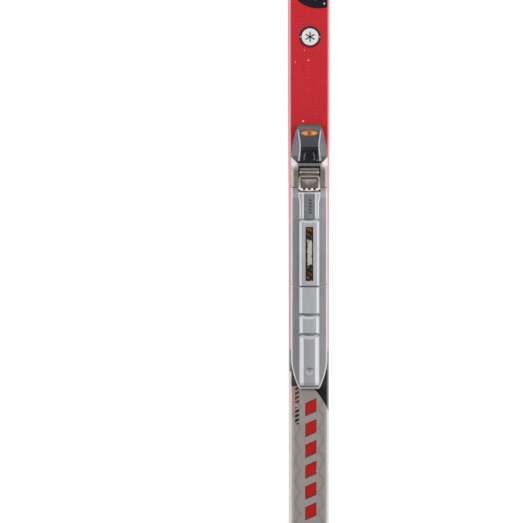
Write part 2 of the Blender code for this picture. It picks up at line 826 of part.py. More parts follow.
def build_seat(finish, binding):
    floor = SLAB_TOP + GAP
    channel = arc((0.0, BAR_HEIGHT), BAR_CHANNEL_RADIUS, 270, 125, 11)
    profile = [
        (-0.0030, floor),
        (0.0022, floor),
        (0.0022, 0.0044),
        *channel,
        (-0.0013, 0.0094),
        (-0.0030, 0.0094),
    ]
    add_piece("bar_seat", bar(profile, -SEAT_HALF, SEAT_HALF), finish["steel"], binding)


def build_flexor(finish, binding):
    floor = SLAB_TOP + GAP
    rear = -0.0150
    top = [(-0.0038, 0.0096), (-0.0050, 0.0103), (-0.0078, 0.0103), (-0.0100, 0.0094)]
    profile = [(rear, floor), (-0.0038, floor)] + top + [(-0.0125, 0.0082), (rear, 0.0078)]
    body = bar(profile, -FLEXOR_HALF, FLEXOR_HALF)
    teeth = []
    tooth_root, tooth_end = rear + 0.0004, -0.0173
    for x in TOOTH_X:
        plan = [(x - 0.0013, tooth_root), (x + 0.0013, tooth_root)]
        plan += [(x + 0.0005, tooth_end), (x - 0.0005, tooth_end)]
        teeth.append(slab(plan, floor + GAP, 0.0075))
    add_piece("flexor", union(body, *teeth), finish["rubber"], binding)
    inner, outer = FLEXOR_HALF + 0.0004, POCKET_HALF - 0.0004
    front, inside, back = -0.0006, -0.0154, -0.0184
    outline = [(inner, front), (outer - 0.0021, front), (outer, -0.0042), (outer, -0.0160)]
    outline += [(outer - 0.0020, back + 0.0003), (0.0, back - 0.0003)]
    outline += [(-outer + 0.0020, back + 0.0003), (-outer, -0.0160), (-outer, -0.0042)]
    outline += [(-outer + 0.0021, front), (-inner, front), (-inner, inside)]
    for x in TOOTH_X:
        outline += [(x - 0.0018, inside), (x - 0.0009, -0.0177)]
        outline += [(x + 0.0009, -0.0177), (x + 0.0018, inside)]
    outline += [(inner, inside)]
    add_piece("flexor_frame", slab(outline, floor, 0.0086), finish["frame"], binding)


# ---------------------------------------------------------------- guide plates


def rimmed_plate(outline_at):
    """A plate with a chamfered rim. outline_at(shrink) gives its plan, shrunk by that much."""
    rings = []
    for shrink, z in ((0.0, GAP), (0.0, PLATE_TOP - PLATE_RIM), (PLATE_RIM, PLATE_TOP)):
        rings.append([(x, y, z) for x, y in outline_at(shrink)])
    return loft(rings)


def ridge_block(y_range, foot, head, high, sag_front=0.0):
    """A chamfered block of the centre ridge; a crescent groove bows its front end."""
    rings = []
    steps = 6
    for half, z, pull in (
        (foot, RIDGE_ROOT, 0.0),
        (foot, PLATE_TOP + 0.0004, 0.0),
        (head, high, 0.0009),
    ):
        rear, front = y_range[0] + pull, y_range[1] - pull
        across = [mix(-half, half, i / steps) for i in range(steps + 1)]
        ring = [(x, rear, z) for x in across]
        ring += [(x, front - sag_front * (1 - (x / foot) ** 2), z) for x in reversed(across)]
        rings.append(ring)
    return loft(rings)


def screw_cutters(place, counterbore_radius):
    x, y = place
    return [
        rod((x, y, -0.001), (x, y, 0.006), SHANK_RADIUS + GAP),
        rod((x, y, PLATE_SEAT_Z), (x, y, 0.015), counterbore_radius),
    ]


def front_plate_outline(shrink):
    """The rear edge slants back to the foot of the ridge."""
    rear, front = FRONT_PLATE_Y[0] + shrink, FRONT_PLATE_Y[1] - shrink
    half, inner_rear = PLATE_HALF - shrink, PLATE_JOINT_Y + shrink
    return mirrored([(RIDGE_FOOT, inner_rear), (half, rear), (half, front)])


def front_ridge():
    """The low front part of the ridge, which flares towards the flexor."""
    rings = []
    for y, foot, head, high in (
        (FRONT_RIDGE_Y[0], 0.0110, 0.0074, 0.0084),
        (-0.0340, 0.0110, 0.0074, 0.0084),
        (-0.0270, 0.0120, 0.0082, 0.0084),
        (-0.0212, 0.0127, 0.0090, 0.0082),
        (FRONT_RIDGE_Y[1], 0.0124, 0.0086, 0.0066),
    ):
        half = [(foot, RIDGE_ROOT), (foot, PLATE_TOP + 0.0003), (head, high)]
        section = mirrored([(0.0, RIDGE_ROOT)] + half + [(0.0, high)])
        rings.append([(x, y, z) for x, z in section])
    return loft(rings)


def recess(half, y_range, floor):
    """Room for an inlay in the ridge's top, a gap larger all round."""
    y0, y1 = y_range
    return box((-half - GAP, half + GAP), (y0 - GAP, y1 + GAP), (floor, 0.02))


def bay(half, rear, front):
    """A hollow under the ridge, open to the deck, that leaves moulded walls."""
    return box((-half, half), (rear, front), (-0.001, BAY_TOP))


def build_front_plate(finish, binding):
    raised = box((-0.0192, 0.0192), (-0.0256, -0.0164), (0.0022, PLATE_TOP + 0.0004))
    panel = ridge_block(PANEL_Y, RIDGE_FOOT, RIDGE_HEAD, RIDGE_TOP, sag_front=0.0007)
    join = box((-0.0086, 0.0086), (PANEL_Y[1] - 0.004, FRONT_RIDGE_Y[0] + 0.002), (0.0019, 0.0062))
    body = union(rimmed_plate(front_plate_outline), raised, front_ridge(), panel, join)
    frame_notch = box((-0.0128, 0.0128), (-0.0191, -0.0140), (-0.001, 0.020))
    strip = recess(INLAY_HALF, INLAY_Y, INLAY_FLOOR)
    label = recess(LABEL_HALF, LABEL_Y, LABEL_FLOOR)
    bays = []
    for i in range(4):
        start = PANEL_Y[0] + 0.0060 + 0.0168 * i
        bays.append(bay(0.0076, start, start + 0.0150))
    cutters = [frame_notch, strip, label, *bays]
    cutters += screw_cutters(RIDGE_SCREW, HEAD_RADIUS + GAP)
    add_piece("front_ridge_plate", cut(body, *cutters), finish["plate"], binding)
    inlay = box((-INLAY_HALF, INLAY_HALF), INLAY_Y, (INLAY_FLOOR + GAP, INLAY_FLOOR + 0.0008))
    add_piece("ridge_inlay", inlay, finish["inlay"], binding)
    sticker = box((-LABEL_HALF, LABEL_HALF), LABEL_Y, (LABEL_FLOOR + GAP, RIDGE_TOP))
    add_piece("ridge_label", sticker, finish["label"], binding)


def heel_plate_outline(shrink):
    """Straight sides that curve in to a blunt rear end."""
    half, steps = PLATE_HALF - shrink, 7
    front, rear = HEEL_PLATE_Y[1] - shrink, HEEL_PLATE_Y[0] + shrink
    side = [(RIDGE_FOOT, PLATE_JOINT_Y - GAP - shrink), (half, front)]
    end_half = HEEL_END_HALF - 0.6 * shrink
    for i in range(steps):
        share = i / (steps - 1)
        y = mix(HEEL_TAPER_Y, rear + 0.0014, share)
        side.append((mix(half, end_half, share**1.75), y))
    side.append((end_half - 0.0016, rear))
    return side + [(-x, y) for x, y in reversed(side)]


def build_heel_plate(finish, binding):
    blocks = []
    for i, (y_range, head) in enumerate(zip(BLOCK_Y, BLOCK_HEAD)):
        sag = CRESCENT_SAG if i > 0 else 0.0
        blocks.append(ridge_block(y_range, RIDGE_FOOT, head, RIDGE_TOP, sag_front=sag))
    joins = []
    for rear_block, front_block in zip(BLOCK_Y[1:], BLOCK_Y):
        y_range = (rear_block[1] - 0.005, front_block[0] + 0.002)
        joins.append(box((-0.0088, 0.0088), y_range, (0.0019, 0.0060)))
    body = union(rimmed_plate(heel_plate_outline), *blocks, *joins)
    bays = [
        bay(0.0070, -0.1570, -0.1330),
        bay(0.0068, -0.1800, -0.1665),
        bay(0.0056, -0.2150, -0.1900),
    ]
    cutters = bays + screw_cutters(HEEL_SCREW, PLUG_RADIUS + GAP)
    add_piece("heel_plate", cut(body, *cutters), finish["plate"], binding)
    x, y = HEEL_SCREW
    plug = rod((x, y, 0.0062), (x, y, RIDGE_TOP - 0.0003), PLUG_RADIUS, 24)
    slit = box((x - 0.0004, x + 0.0004), (y - 0.0004, y + 0.0030), (0.0080, 0.012))
    add_piece("heel_screw_plug", cut(plug, slit), finish["plug"], binding)


# ---------------------------------------------------------------- screws


def screw(x, y, floor):
    """Pan-head screw: shank into the ski, head, cross recess."""
    low = floor + GAP
    top = low + HEAD_THICKNESS
    shank_end = low - SHANK_LENGTH + 0.0005
    ring = [circle_point(1.0, i / CIRCLE_POINTS) for i in range(CIRCLE_POINTS)]
    levels = (
        (0.0006, shank_end - 0.0010),
        (SHANK_RADIUS, shank_end + 0.0015),
        (SHANK_RADIUS, low),
        (HEAD_RADIUS, low),
        (HEAD_RADIUS, low + 0.5 * HEAD_THICKNESS),
        (HEAD_RADIUS - 0.0010, top),
    )
    body = loft([[(x + r * a, y + r * b, z) for a, b in ring] for r, z in levels])
    arms = [
        box((x - 0.0018, x + 0.0018), (y - 0.0004, y + 0.0004), (top - 0.0007, top + 0.001)),
        box((x - 0.0004, x + 0.0004), (y - 0.0018, y + 0.0018), (top - 0.0007, top + 0.001)),
    ]
    return cut(body, *arms)


def build_screws(finish, binding):
    for name, x, y, floor in screw_places():
        add_piece(name, screw(x, y, floor), finish["steel"], binding, smooth_angle=35)


# ---------------------------------------------------------------- the whole ski


def finishes():
    return {
        "base": material("sintered_base", (0.03, 0.03, 0.035), 0.35),
        "edge": material("edge_plastic", (0.72, 0.52, 0.54), 0.45),
        "laminate": material("glass_laminate", (0.55, 0.58, 0.42), 0.5),
        "core": material("foam_core", (0.75, 0.66, 0.45), 0.8),
        "insert": material("insert_sheet", (0.45, 0.45, 0.47), 0.4, 0.6),
        "cap": material("printed_cap", (0.55, 0.04, 0.05), 0.35),
        "protector": material("end_plastic", (0.02, 0.02, 0.02), 0.5),
        "housing": material("housing_plastic", (0.22, 0.20, 0.18), 0.45),
        "lever": material("lever_plastic", (0.12, 0.12, 0.13), 0.4),
        "badge": material("badge_enamel", (0.75, 0.27, 0.04), 0.3),
        "pad": material("gloss_black", (0.012, 0.012, 0.014), 0.15),
        "steel": material("zinc_steel", (0.60, 0.60, 0.58), 0.35, 1.0),
        "jaw": material("jaw_plastic", (0.28, 0.25, 0.23), 0.45),
        "rubber": material("flexor_rubber", (0.20, 0.17, 0.15), 0.7),
        "frame": material("yellowed_plastic", (0.62, 0.57, 0.47), 0.4),
        "plate": material("silver_grey_plastic", (0.33, 0.34, 0.36), 0.4),
        "inlay": material("dark_grey_inlay", (0.18, 0.18, 0.19), 0.4),
        "label": material("sticker", (0.03, 0.02, 0.015), 0.4),
        "plug": material("plug_plastic", (0.42, 0.42, 0.44), 0.4),
    }


def main():
    for old in list(bpy.data.objects):
        bpy.data.objects.remove(old)
    finish = finishes()
    build_ski_body(finish)
    binding = add_empty("binding_origin", (0.0, BAR_Y, DECK_Z))
    build_housing(finish, binding)
    build_lever(finish, binding)
    build_jaw(finish, binding)
    build_spring(finish, binding)
    build_seat(finish, binding)
    build_flexor(finish, binding)
    build_front_plate(finish, binding)
    build_heel_plate(finish, binding)
    build_screws(finish, binding)


main()
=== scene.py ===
"""Looks of the cross country ski: materials, finer visible pieces, light and camera.

Every pattern is drawn in millimetres: x across the ski, y along it from the boot bar's axis
towards the tip, height above the ski's deck.
"""

import json
import math

import bmesh
import bpy
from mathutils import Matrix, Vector


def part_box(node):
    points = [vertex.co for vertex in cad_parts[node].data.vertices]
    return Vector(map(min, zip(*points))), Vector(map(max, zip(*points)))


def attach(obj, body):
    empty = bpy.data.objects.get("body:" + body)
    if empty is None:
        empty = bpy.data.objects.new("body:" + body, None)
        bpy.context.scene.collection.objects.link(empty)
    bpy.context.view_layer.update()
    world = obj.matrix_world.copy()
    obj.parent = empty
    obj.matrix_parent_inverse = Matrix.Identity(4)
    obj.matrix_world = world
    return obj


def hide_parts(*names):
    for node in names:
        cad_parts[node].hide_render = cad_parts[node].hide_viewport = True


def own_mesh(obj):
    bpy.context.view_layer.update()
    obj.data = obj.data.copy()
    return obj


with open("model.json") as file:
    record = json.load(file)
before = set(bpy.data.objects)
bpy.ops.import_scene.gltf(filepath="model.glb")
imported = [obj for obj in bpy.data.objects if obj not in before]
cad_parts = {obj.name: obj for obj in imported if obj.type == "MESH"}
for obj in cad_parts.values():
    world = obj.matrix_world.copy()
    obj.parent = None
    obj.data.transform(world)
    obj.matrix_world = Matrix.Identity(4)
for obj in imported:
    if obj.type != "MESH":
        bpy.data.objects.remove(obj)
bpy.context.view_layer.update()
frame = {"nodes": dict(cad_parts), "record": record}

# ---- places taken from the CAD frame, in metres
GAP = 0.0003
SEAT_BEHIND_BAR = 0.0030
SPRING_LOW, SPRING_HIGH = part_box("jaw_spring")
BAR_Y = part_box("bar_seat")[0].y + SEAT_BEHIND_BAR
DECK_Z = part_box("front_ridge_plate")[0].z - GAP

# ---- view
VIEW_WIDTH = 0.6015
CAMERA_DISTANCE = 3.0
CAMERA_X = -0.0549
CAMERA_Y = -0.1445
SENSOR = 36.0

# ---- light, from the horizon to straight above
HORIZON_LIGHT = 0.95
ZENITH_LIGHT = 0.18
FADE_START, FADE_END = 0.20, 0.90

# ---- colours of the print and of the painted shadow, linear
RED = (0.67, 0.032, 0.045)
RED_DOT = (0.32, 0.002, 0.006)
NAVY = (0.006, 0.008, 0.012)
SILVER = (0.33, 0.290, 0.272)
SILVER_DARK = (0.200, 0.170, 0.155)
WHITE = (0.74, 0.72, 0.72)
MAROON = (0.10, 0.016, 0.018)
BRIGHT_RED = (0.45, 0.010, 0.008)
SHADOW = (0.03, 0.025, 0.025)

# ---- places of the print, in millimetres, where a circle is x, y and radius
DOT_ACROSS = 2.58
DOT_ALONG = 4.39
SCALLOP_LENGTH = 49.0
DECK_BADGE = (1.0, 159.0)
BLACK_DISC = (10.5, 227.0, 35.3)
SHOVEL_BAND = (520.0, 544.0)
SHOVEL_BLACK = 560.0
RED_END = -202.0
RED_END_SLANT = 0.191
SILVER_CIRCLE = (-57.5, -304.6, 86.2)
SILVER_START = -304.5
CHIPS = ((-1.0, 132.0, 0.7), (-16.0, 130.0, 0.5), (-7.0, 62.0, 0.9), (-5.5, 143.5, 0.5))

# ---- half width of the ski, in millimetres, and its growth from one place to another
NARROWEST_HALF = 22.9
SIDECUT = ((-405.0, -105.0, 0.4), (-105.0, 95.0, 0.9), (95.0, 745.0, 1.1), (-405.0, -855.0, 0.8))

# ---- places on the binding, in millimetres
LEVER_BADGE_Y = 47.4
HEEL_PLUG_Y = -225.4
PLATES_HALF_WIDTH = 20.6
PLATES_FRONT = 12.0
PLATES_REAR = -243.0
RIDGE_GAPS = ((-50.6, 1.9), (-159.4, 3.0), (-181.8, 3.0))


# ---------------------------------------------------------------- node trees


class Graph:
    """A material's node tree, built by short calls whose arguments are sockets or values."""

    def __init__(self, name):
        self.material = bpy.data.materials.new(name)
        self.material.use_nodes = True
        self.tree = self.material.node_tree
        self.shader = self.tree.nodes["Principled BSDF"]
        self.place = self.node("ShaderNodeTexCoord").outputs["Object"]
        axes = self.node("ShaderNodeSeparateXYZ", self.place).outputs
        self.x = self.multiply(axes[0], 1000.0)
        self.y = self.multiply(self.subtract(axes[1], BAR_Y), 1000.0)
        self.height = self.multiply(self.subtract(axes[2], DECK_Z), 1000.0)

    def node(self, kind, *values, **settings):
        made = self.tree.nodes.new(kind)
        for key, value in settings.items():
            setattr(made, key, value)
        for socket, value in zip(made.inputs, values):
            self.feed(socket, value)
        return made

    def feed(self, socket, value):
        if isinstance(value, bpy.types.NodeSocket):
            self.tree.links.new(value, socket)
        elif value is not None:
            socket.default_value = value

    def calculate(self, operation, *values):
        return self.node("ShaderNodeMath", *values, operation=operation).outputs[0]

    def add(self, a, b):
        return self.calculate("ADD", a, b)

    def subtract(self, a, b):
        return self.calculate("SUBTRACT", a, b)

    def multiply(self, a, b):
        return self.calculate("MULTIPLY", a, b)

    def greatest(self, a, b):
        return self.calculate("MAXIMUM", a, b)

    def invert(self, a):
        return self.subtract(1.0, a)

    def size(self, a):
        return self.calculate("ABSOLUTE", a)

    def rise(self, value, start, end, low=0.0, high=1.0):
        """Goes smoothly from low to high as the value goes from start to end."""
        made = self.node("ShaderNodeMapRange", value, start, end, low, high)
        made.interpolation_type = "SMOOTHSTEP"
        return made.outputs[0]

    def within(self, value, low, high, soft=0.15):
        up = self.rise(value, low - soft, low + soft)
        down = self.rise(value, high - soft, high + soft, 1.0, 0.0)
        return self.multiply(up, down)

    def distance(self, x, y):
        """How far a point is from (x, y), in millimetres."""
        across, along = self.subtract(self.x, x), self.subtract(self.y, y)
        total = self.add(self.multiply(across, across), self.multiply(along, along))
        return self.calculate("SQRT", total)

    def disc(self, x, y, radius, soft=0.3):
        return self.rise(self.distance(x, y), radius - soft, radius + soft, 1.0, 0.0)

    def wave(self, value, period, shift=0.0):
        """A cosine from -1 to 1 with this period."""
        turned = self.multiply(self.subtract(value, shift), 2 * math.pi / period)
        return self.calculate("COSINE", turned)

    def noise(self, scale, detail=3.0, stretch=(1.0, 1.0, 1.0), rough=0.55):
        """Fractal noise from 0 to 1. Scale is in cells per metre."""
        mapped = self.node("ShaderNodeMapping", self.place)
        mapped.inputs["Scale"].default_value = stretch
        made = self.node("ShaderNodeTexNoise", mapped.outputs[0])
        made.inputs["Scale"].default_value = scale
        made.inputs["Detail"].default_value = detail
        made.inputs["Roughness"].default_value = rough
        return made.outputs["Fac"]

    def specks(self, scale, size, seed=0.0):
        """Sparse round spots: 1 inside a spot. Size is a share of the cell."""
        moved = self.node("ShaderNodeMapping", self.place)
        moved.inputs["Location"].default_value = (seed, 1.7 * seed, 0.0)
        cells = self.node("ShaderNodeTexVoronoi", moved.outputs[0])
        cells.inputs["Scale"].default_value = scale
        return self.rise(cells.outputs["Distance"], 0.6 * size, size, 1.0, 0.0)

    def blend(self, factor, a, b):
        """Colour a where the factor is 0 and colour b where it is 1."""
        made = self.tree.nodes.new("ShaderNodeMix")
        made.data_type = "RGBA"
        self.feed(made.inputs[0], factor)
        # A mix node's colour sockets are inputs 6 and 7 and output 2
        for socket, value in ((made.inputs[6], a), (made.inputs[7], b)):
            self.feed(socket, (*value, 1.0) if isinstance(value, tuple) else value)
        return made.outputs[2]

    def paint(self, ground, mask, share, colour):
        """Lay this share of a colour over the ground, where the mask is 1."""
        return self.blend(self.multiply(mask, share), ground, colour)

    def edges(self, radius, start=0.02, end=0.22):
        """1 along sharp edges, by how far a rounded normal leans from the true one: the mask of
        painted edge highlights.
        """
        rounded = self.node("ShaderNodeBevel", radius, samples=4).outputs[0]
        true = self.node("ShaderNodeNewGeometry").outputs["Normal"]
        lean = self.node("ShaderNodeVectorMath", rounded, true, operation="DOT_PRODUCT")
        return self.rise(self.invert(lean.outputs["Value"]), start, end)

    def upright(self):
        """How far up the surface faces: 1 for a level top, 0 for a wall."""
        normal = self.node("ShaderNodeNewGeometry").outputs["Normal"]
        return self.node("ShaderNodeSeparateXYZ", normal).outputs[2]

    def bump(self, height, depth, after=None):
        """A bump of this depth in millimetres, on top of another one."""
        made = self.tree.nodes.new("ShaderNodeBump")
        made.inputs["Distance"].default_value = depth / 1000.0
        self.feed(made.inputs["Height"], height)
        self.feed(made.inputs["Normal"], after)
        return made.outputs[0]

    def finish(self, colour, roughness, normal=None, **extra):
        self.feed(self.shader.inputs["Base Color"], colour)
        self.feed(self.shader.inputs["Roughness"], roughness)
        self.feed(self.shader.inputs["Normal"], normal)
        for key, value in extra.items():
            self.feed(self.shader.inputs[key.replace("_", " ")], value)
        return self.material


# ---------------------------------------------------------------- materials of the ski body


def cap_colour(g):
    """The printed deck: red with a black disc in front, then black, then patterned silver."""
    lattice = g.multiply(g.wave(g.x, DOT_ACROSS), g.wave(g.y, DOT_ALONG))
    dots = g.rise(lattice, 0.05, 0.25)
    red = g.blend(dots, RED, RED_DOT)

    swell = g.size(g.wave(g.y, SCALLOP_LENGTH, -304.0))
    scallop = g.subtract(g.size(g.x), g.add(10.2, g.multiply(swell, 5.6)))
    shade = g.multiply(g.rise(scallop, -3.6, 0.0), g.rise(scallop, 0.0, 3.2, 1.0, 0.0))
    shade = g.multiply(shade, g.rise(g.noise(260.0, 4.0), 0.25, 0.65, 0.20, 0.60))
    silver = g.blend(shade, SILVER, SILVER_DARK)
    silver = g.paint(silver, dots, 0.22, SILVER_DARK)

    slant = g.add(g.y, g.multiply(g.x, RED_END_SLANT))
    colour = g.blend(g.rise(slant, RED_END + 0.3, RED_END - 0.3), red, NAVY)
    colour = g.blend(silver_zone(g), colour, slanted_bars(g, silver))
    colour = g.blend(g.disc(*BLACK_DISC), colour, NAVY)
    colour = tip_print(g, colour)
    return badge_print(g, colour)


def silver_zone(g):
    """Inside the big circle behind the heel plate, and everything further back."""
    behind = g.rise(g.y, SILVER_START + 0.5, SILVER_START - 0.5)
    return g.greatest(g.disc(*SILVER_CIRCLE), behind)


def slanted_bars(g, ground):
    """Row of slanted red bars with maroon shadows, and two rows of small dashes beside it."""
    lean = g.subtract(g.y, g.multiply(g.x, 0.45))
    stretch = g.within(g.y, -560.0, -256.0, 0.4)
    for start, across, colour in (
        (-0.42, (-4.6, 8.3), MAROON),
        (-0.12, (-3.7, 7.5), BRIGHT_RED),
    ):
        stripe = g.rise(g.wave(lean, 24.0, -268.0), start - 0.05, start + 0.05)
        mask = g.multiply(g.multiply(stripe, g.within(g.x, *across, 0.1)), stretch)
        ground = g.blend(mask, ground, colour)
    for period, across, along, colour in (
        (2.9, (-20.6, -17.3), (-280.0, -231.0), BRIGHT_RED),
        (5.2, (-16.4, -11.6), (-262.0, -231.0), MAROON),
        (5.2, (-16.4, -11.6), (-286.8, -267.0), NAVY),
    ):
        dash = g.rise(g.wave(lean, period), -0.35, -0.15)
        mask = g.multiply(g.multiply(dash, g.within(g.x, *across)), g.within(g.y, *along))
        ground = g.blend(mask, ground, colour)
    return ground


def tip_print(g, colour):
    """In front of the black disc: a silver band and a black shovel."""
    slant = g.add(g.y, g.multiply(g.x, 0.5))
    colour = g.blend(g.rise(slant, SHOVEL_BLACK - 0.5, SHOVEL_BLACK + 0.5), colour, NAVY)
    return g.blend(g.within(slant, *SHOVEL_BAND, 0.5), colour, SILVER)


def badge_print(g, colour):
    """A round badge with a six-armed star, in front of the binding."""
    x, y = DECK_BADGE
    colour = g.blend(g.disc(x, y, 12.7), colour, MAROON)
    colour = g.blend(g.disc(x, y, 11.6), colour, (0.045, 0.02, 0.022))
    for side in (-1, 1):
        colour = g.blend(g.disc(x + side * 11.2, y, 0.6), colour, WHITE)
    colour = g.blend(g.disc(x, y, 9.7), colour, WHITE)
    star = None
    for i in range(3):
        angle = math.pi * (i / 3 + 0.5)
        across = g.add(
            g.multiply(g.subtract(g.x, x), -math.sin(angle)),
            g.multiply(g.subtract(g.y, y), math.cos(angle)),
        )
        arm = g.rise(g.size(across), 0.55, 0.95, 1.0, 0.0)
        star = arm if star is None else g.greatest(star, arm)
    star = g.multiply(star, g.disc(x, y, 6.0))
    return g.blend(star, colour, (0.02, 0.02, 0.024))


def depth_from_side(g):
    """How far in from the ski's side a point is, by the ski's sidecut."""
    half = NARROWEST_HALF
    for start, end, growth in SIDECUT:
        half = g.add(half, g.rise(g.y, start, end, 0.0, growth))
    return g.subtract(half, g.size(g.x))


def painted_side_sheen(g, colour):
    """Painted reflection on the cap's sides: pink beside the red print, grey beside the silver,
    dark beside the black.
    """
    depth = depth_from_side(g)
    level = g.upright()
    red_zone = g.within(g.y, RED_END + 1.0, SHOVEL_BLACK, 3.0)
    silver = g.multiply(silver_zone(g), g.invert(red_zone))
    beside_plates = g.rise(g.y, -20.0, -60.0)
    # Painted highlight on the shoulder over a darker painted wall tone
    red_shoulder = g.blend(beside_plates, (0.60, 0.19, 0.225), (0.47, 0.24, 0.265))
    red_wall = g.blend(beside_plates, (0.42, 0.115, 0.140), (0.27, 0.090, 0.110))
    dark = (0.068, 0.064, 0.068)
    shoulder = g.blend(red_zone, g.blend(silver, dark, (0.50, 0.47, 0.46)), red_shoulder)
    wall = g.blend(red_zone, g.blend(silver, dark, (0.38, 0.345, 0.34)), red_wall)
    wrapped = g.multiply(g.wave(g.height, DOT_ACROSS), g.wave(g.y, DOT_ALONG))
    dots = g.multiply(g.rise(wrapped, 0.05, 0.25), g.add(0.15, g.multiply(red_zone, 0.45)))
    dot_colour = g.blend(red_zone, (0.055, 0.050, 0.050), (0.20, 0.006, 0.014))
    wall = g.blend(dots, wall, dot_colour)
    # Streaks of the painted shoulder highlight along the wall
    rubbed_and_sheen = g.rise(g.noise(300.0, 4.0, (1.0, 0.08, 1.0)), 0.45, 0.75, 0.0, 0.22)
    wall = g.blend(rubbed_and_sheen, wall, shoulder)
    side = g.blend(g.rise(level, 0.17, 0.22, 1.0, 0.0), shoulder, wall)
    reach = g.add(4.0, g.multiply(silver, 2.0))
    fade = g.rise(g.subtract(depth, reach), -2.2, 0.0, 0.75, 0.0)
    fade = g.multiply(fade, g.invert(g.multiply(silver, 0.35)))
    near = g.greatest(g.rise(level, 0.75, 0.90, 1.0, 0.0), fade)
    return g.blend(near, colour, side)


def shade_of_plates(g, colour):
    """Painted shadow on the print under the binding and just behind the heel plate."""
    across = g.within(g.x, -PLATES_HALF_WIDTH, PLATES_HALF_WIDTH, 0.6)
    under = g.multiply(g.within(g.y, PLATES_REAR, PLATES_FRONT), across)
    colour = g.paint(colour, under, 0.9, SHADOW)
    # Painted shadow fading out behind the heel plate's rear end
    behind = g.multiply(g.rise(g.y, -249.5, -246.0), g.within(g.y, -249.5, PLATES_REAR))
    behind = g.multiply(behind, g.within(g.x, -9.0, 9.0, 2.0))
    return g.paint(colour, behind, 0.75, SHADOW)


def deck_wear(g, colour):
    """White chips and faint grime."""
    chips = g.multiply(g.specks(62.0, 0.075), g.rise(g.noise(9.0), 0.50, 0.56))
    for x, y, radius in CHIPS:
        chips = g.greatest(chips, g.disc(x, y, radius, 0.25))
    colour = g.blend(chips, colour, (0.80, 0.62, 0.62))
    grime = g.rise(g.noise(55.0, 6.0, (1.0, 0.35, 1.0)), 0.52, 0.80, 0.0, 0.16)
    return g.blend(grime, colour, (0.16, 0.13, 0.12))


def cap_material():
    g = Graph("printed_cap")
    colour = painted_side_sheen(g, cap_colour(g))
    colour = deck_wear(g, shade_of_plates(g, colour))
    scratch = g.rise(g.noise(900.0, 2.0, (1.0, 0.03, 1.0)), 0.62, 0.70)
    roughness = g.add(g.rise(g.noise(120.0, 4.0), 0.3, 0.7, 0.30, 0.42), g.multiply(scratch, 0.12))
    dimples = g.multiply(g.wave(g.x, DOT_ACROSS), g.wave(g.y, DOT_ALONG))
    normal = g.bump(dimples, 0.05)
    normal = g.bump(scratch, 0.01, normal)
    return g.finish(colour, roughness, normal, Specular_IOR_Level=0.25, Coat_Weight=0.08)


def running_base_material():
    """Sintered base with a lengthwise ground structure."""
    g = Graph("sintered_base")
    lines = g.wave(g.x, 0.55)
    haze = g.noise(70.0, 5.0, (1.0, 0.15, 1.0))
    colour = g.blend(g.rise(haze, 0.4, 0.75), (0.014, 0.014, 0.016), (0.055, 0.055, 0.058))
    normal = g.bump(lines, 0.02)
    return g.finish(colour, g.rise(haze, 0.3, 0.7, 0.30, 0.50), normal)


def edge_material():
    g = Graph("edge_plastic")
    dash = g.rise(g.wave(g.y, 3.9), 0.0, 0.4)
    colour = g.blend(g.multiply(dash, 0.35), (0.62, 0.50, 0.51), (0.42, 0.20, 0.22))
    rubbed_and_sheen = g.rise(g.noise(400.0, 4.0, (1.0, 0.1, 1.0)), 0.45, 0.7)
    colour = g.paint(colour, rubbed_and_sheen, 0.35, (0.62, 0.60, 0.58))
    return g.finish(colour, g.rise(rubbed_and_sheen, 0.0, 1.0, 0.35, 0.55), g.bump(rubbed_and_sheen, 0.03))


def laminate_material():
    """Woven glass sheet seen through resin."""
    g = Graph("glass_laminate")
    weave = g.multiply(g.wave(g.x, 1.6), g.wave(g.y, 1.6))
    colour = g.blend(g.rise(weave, -0.5, 0.5), (0.48, 0.52, 0.34), (0.64, 0.66, 0.50))
    return g.finish(colour, 0.45, g.bump(weave, 0.05))


def insert_material():
    """Hard screw-holding sheet: fine grain, faint flow marks and scuffs."""
    g = Graph("insert_sheet")
    grain = g.noise(2600.0, 2.0)
    flow = g.rise(g.noise(90.0, 5.0, (1.0, 0.5, 1.0)), 0.35, 0.72)
    colour = g.blend(flow, (0.327, 0.327, 0.344), (0.403, 0.403, 0.424))
    scuffs = g.rise(g.noise(700.0, 3.0, (1.0, 0.16, 1.0)), 0.60, 0.72)
    colour = g.paint(colour, scuffs, 0.22, (0.55, 0.55, 0.57))
    return g.finish(colour, g.rise(grain, 0.3, 0.7, 0.37, 0.48), g.bump(grain, 0.018))


def core_material():
    g = Graph("light_core")
    grain = g.noise(420.0, 5.0, (1.0, 0.04, 1.0))
    colour = g.blend(g.rise(grain, 0.35, 0.65), (0.46, 0.33, 0.19), (0.72, 0.58, 0.38))
    return g.finish(colour, 0.75, g.bump(grain, 0.12))


def end_material():
    g = Graph("end_plastic")
    grain = g.noise(1500.0, 2.0)
    scuff = g.rise(g.noise(140.0, 5.0, (0.4, 1.0, 1.0)), 0.55, 0.75)
    colour = g.blend(scuff, (0.014, 0.014, 0.016), (0.07, 0.068, 0.068))
    return g.finish(colour, g.rise(grain, 0.3, 0.7, 0.42, 0.60), g.bump(grain, 0.03))


# ---------------------------------------------------------------- materials of the binding


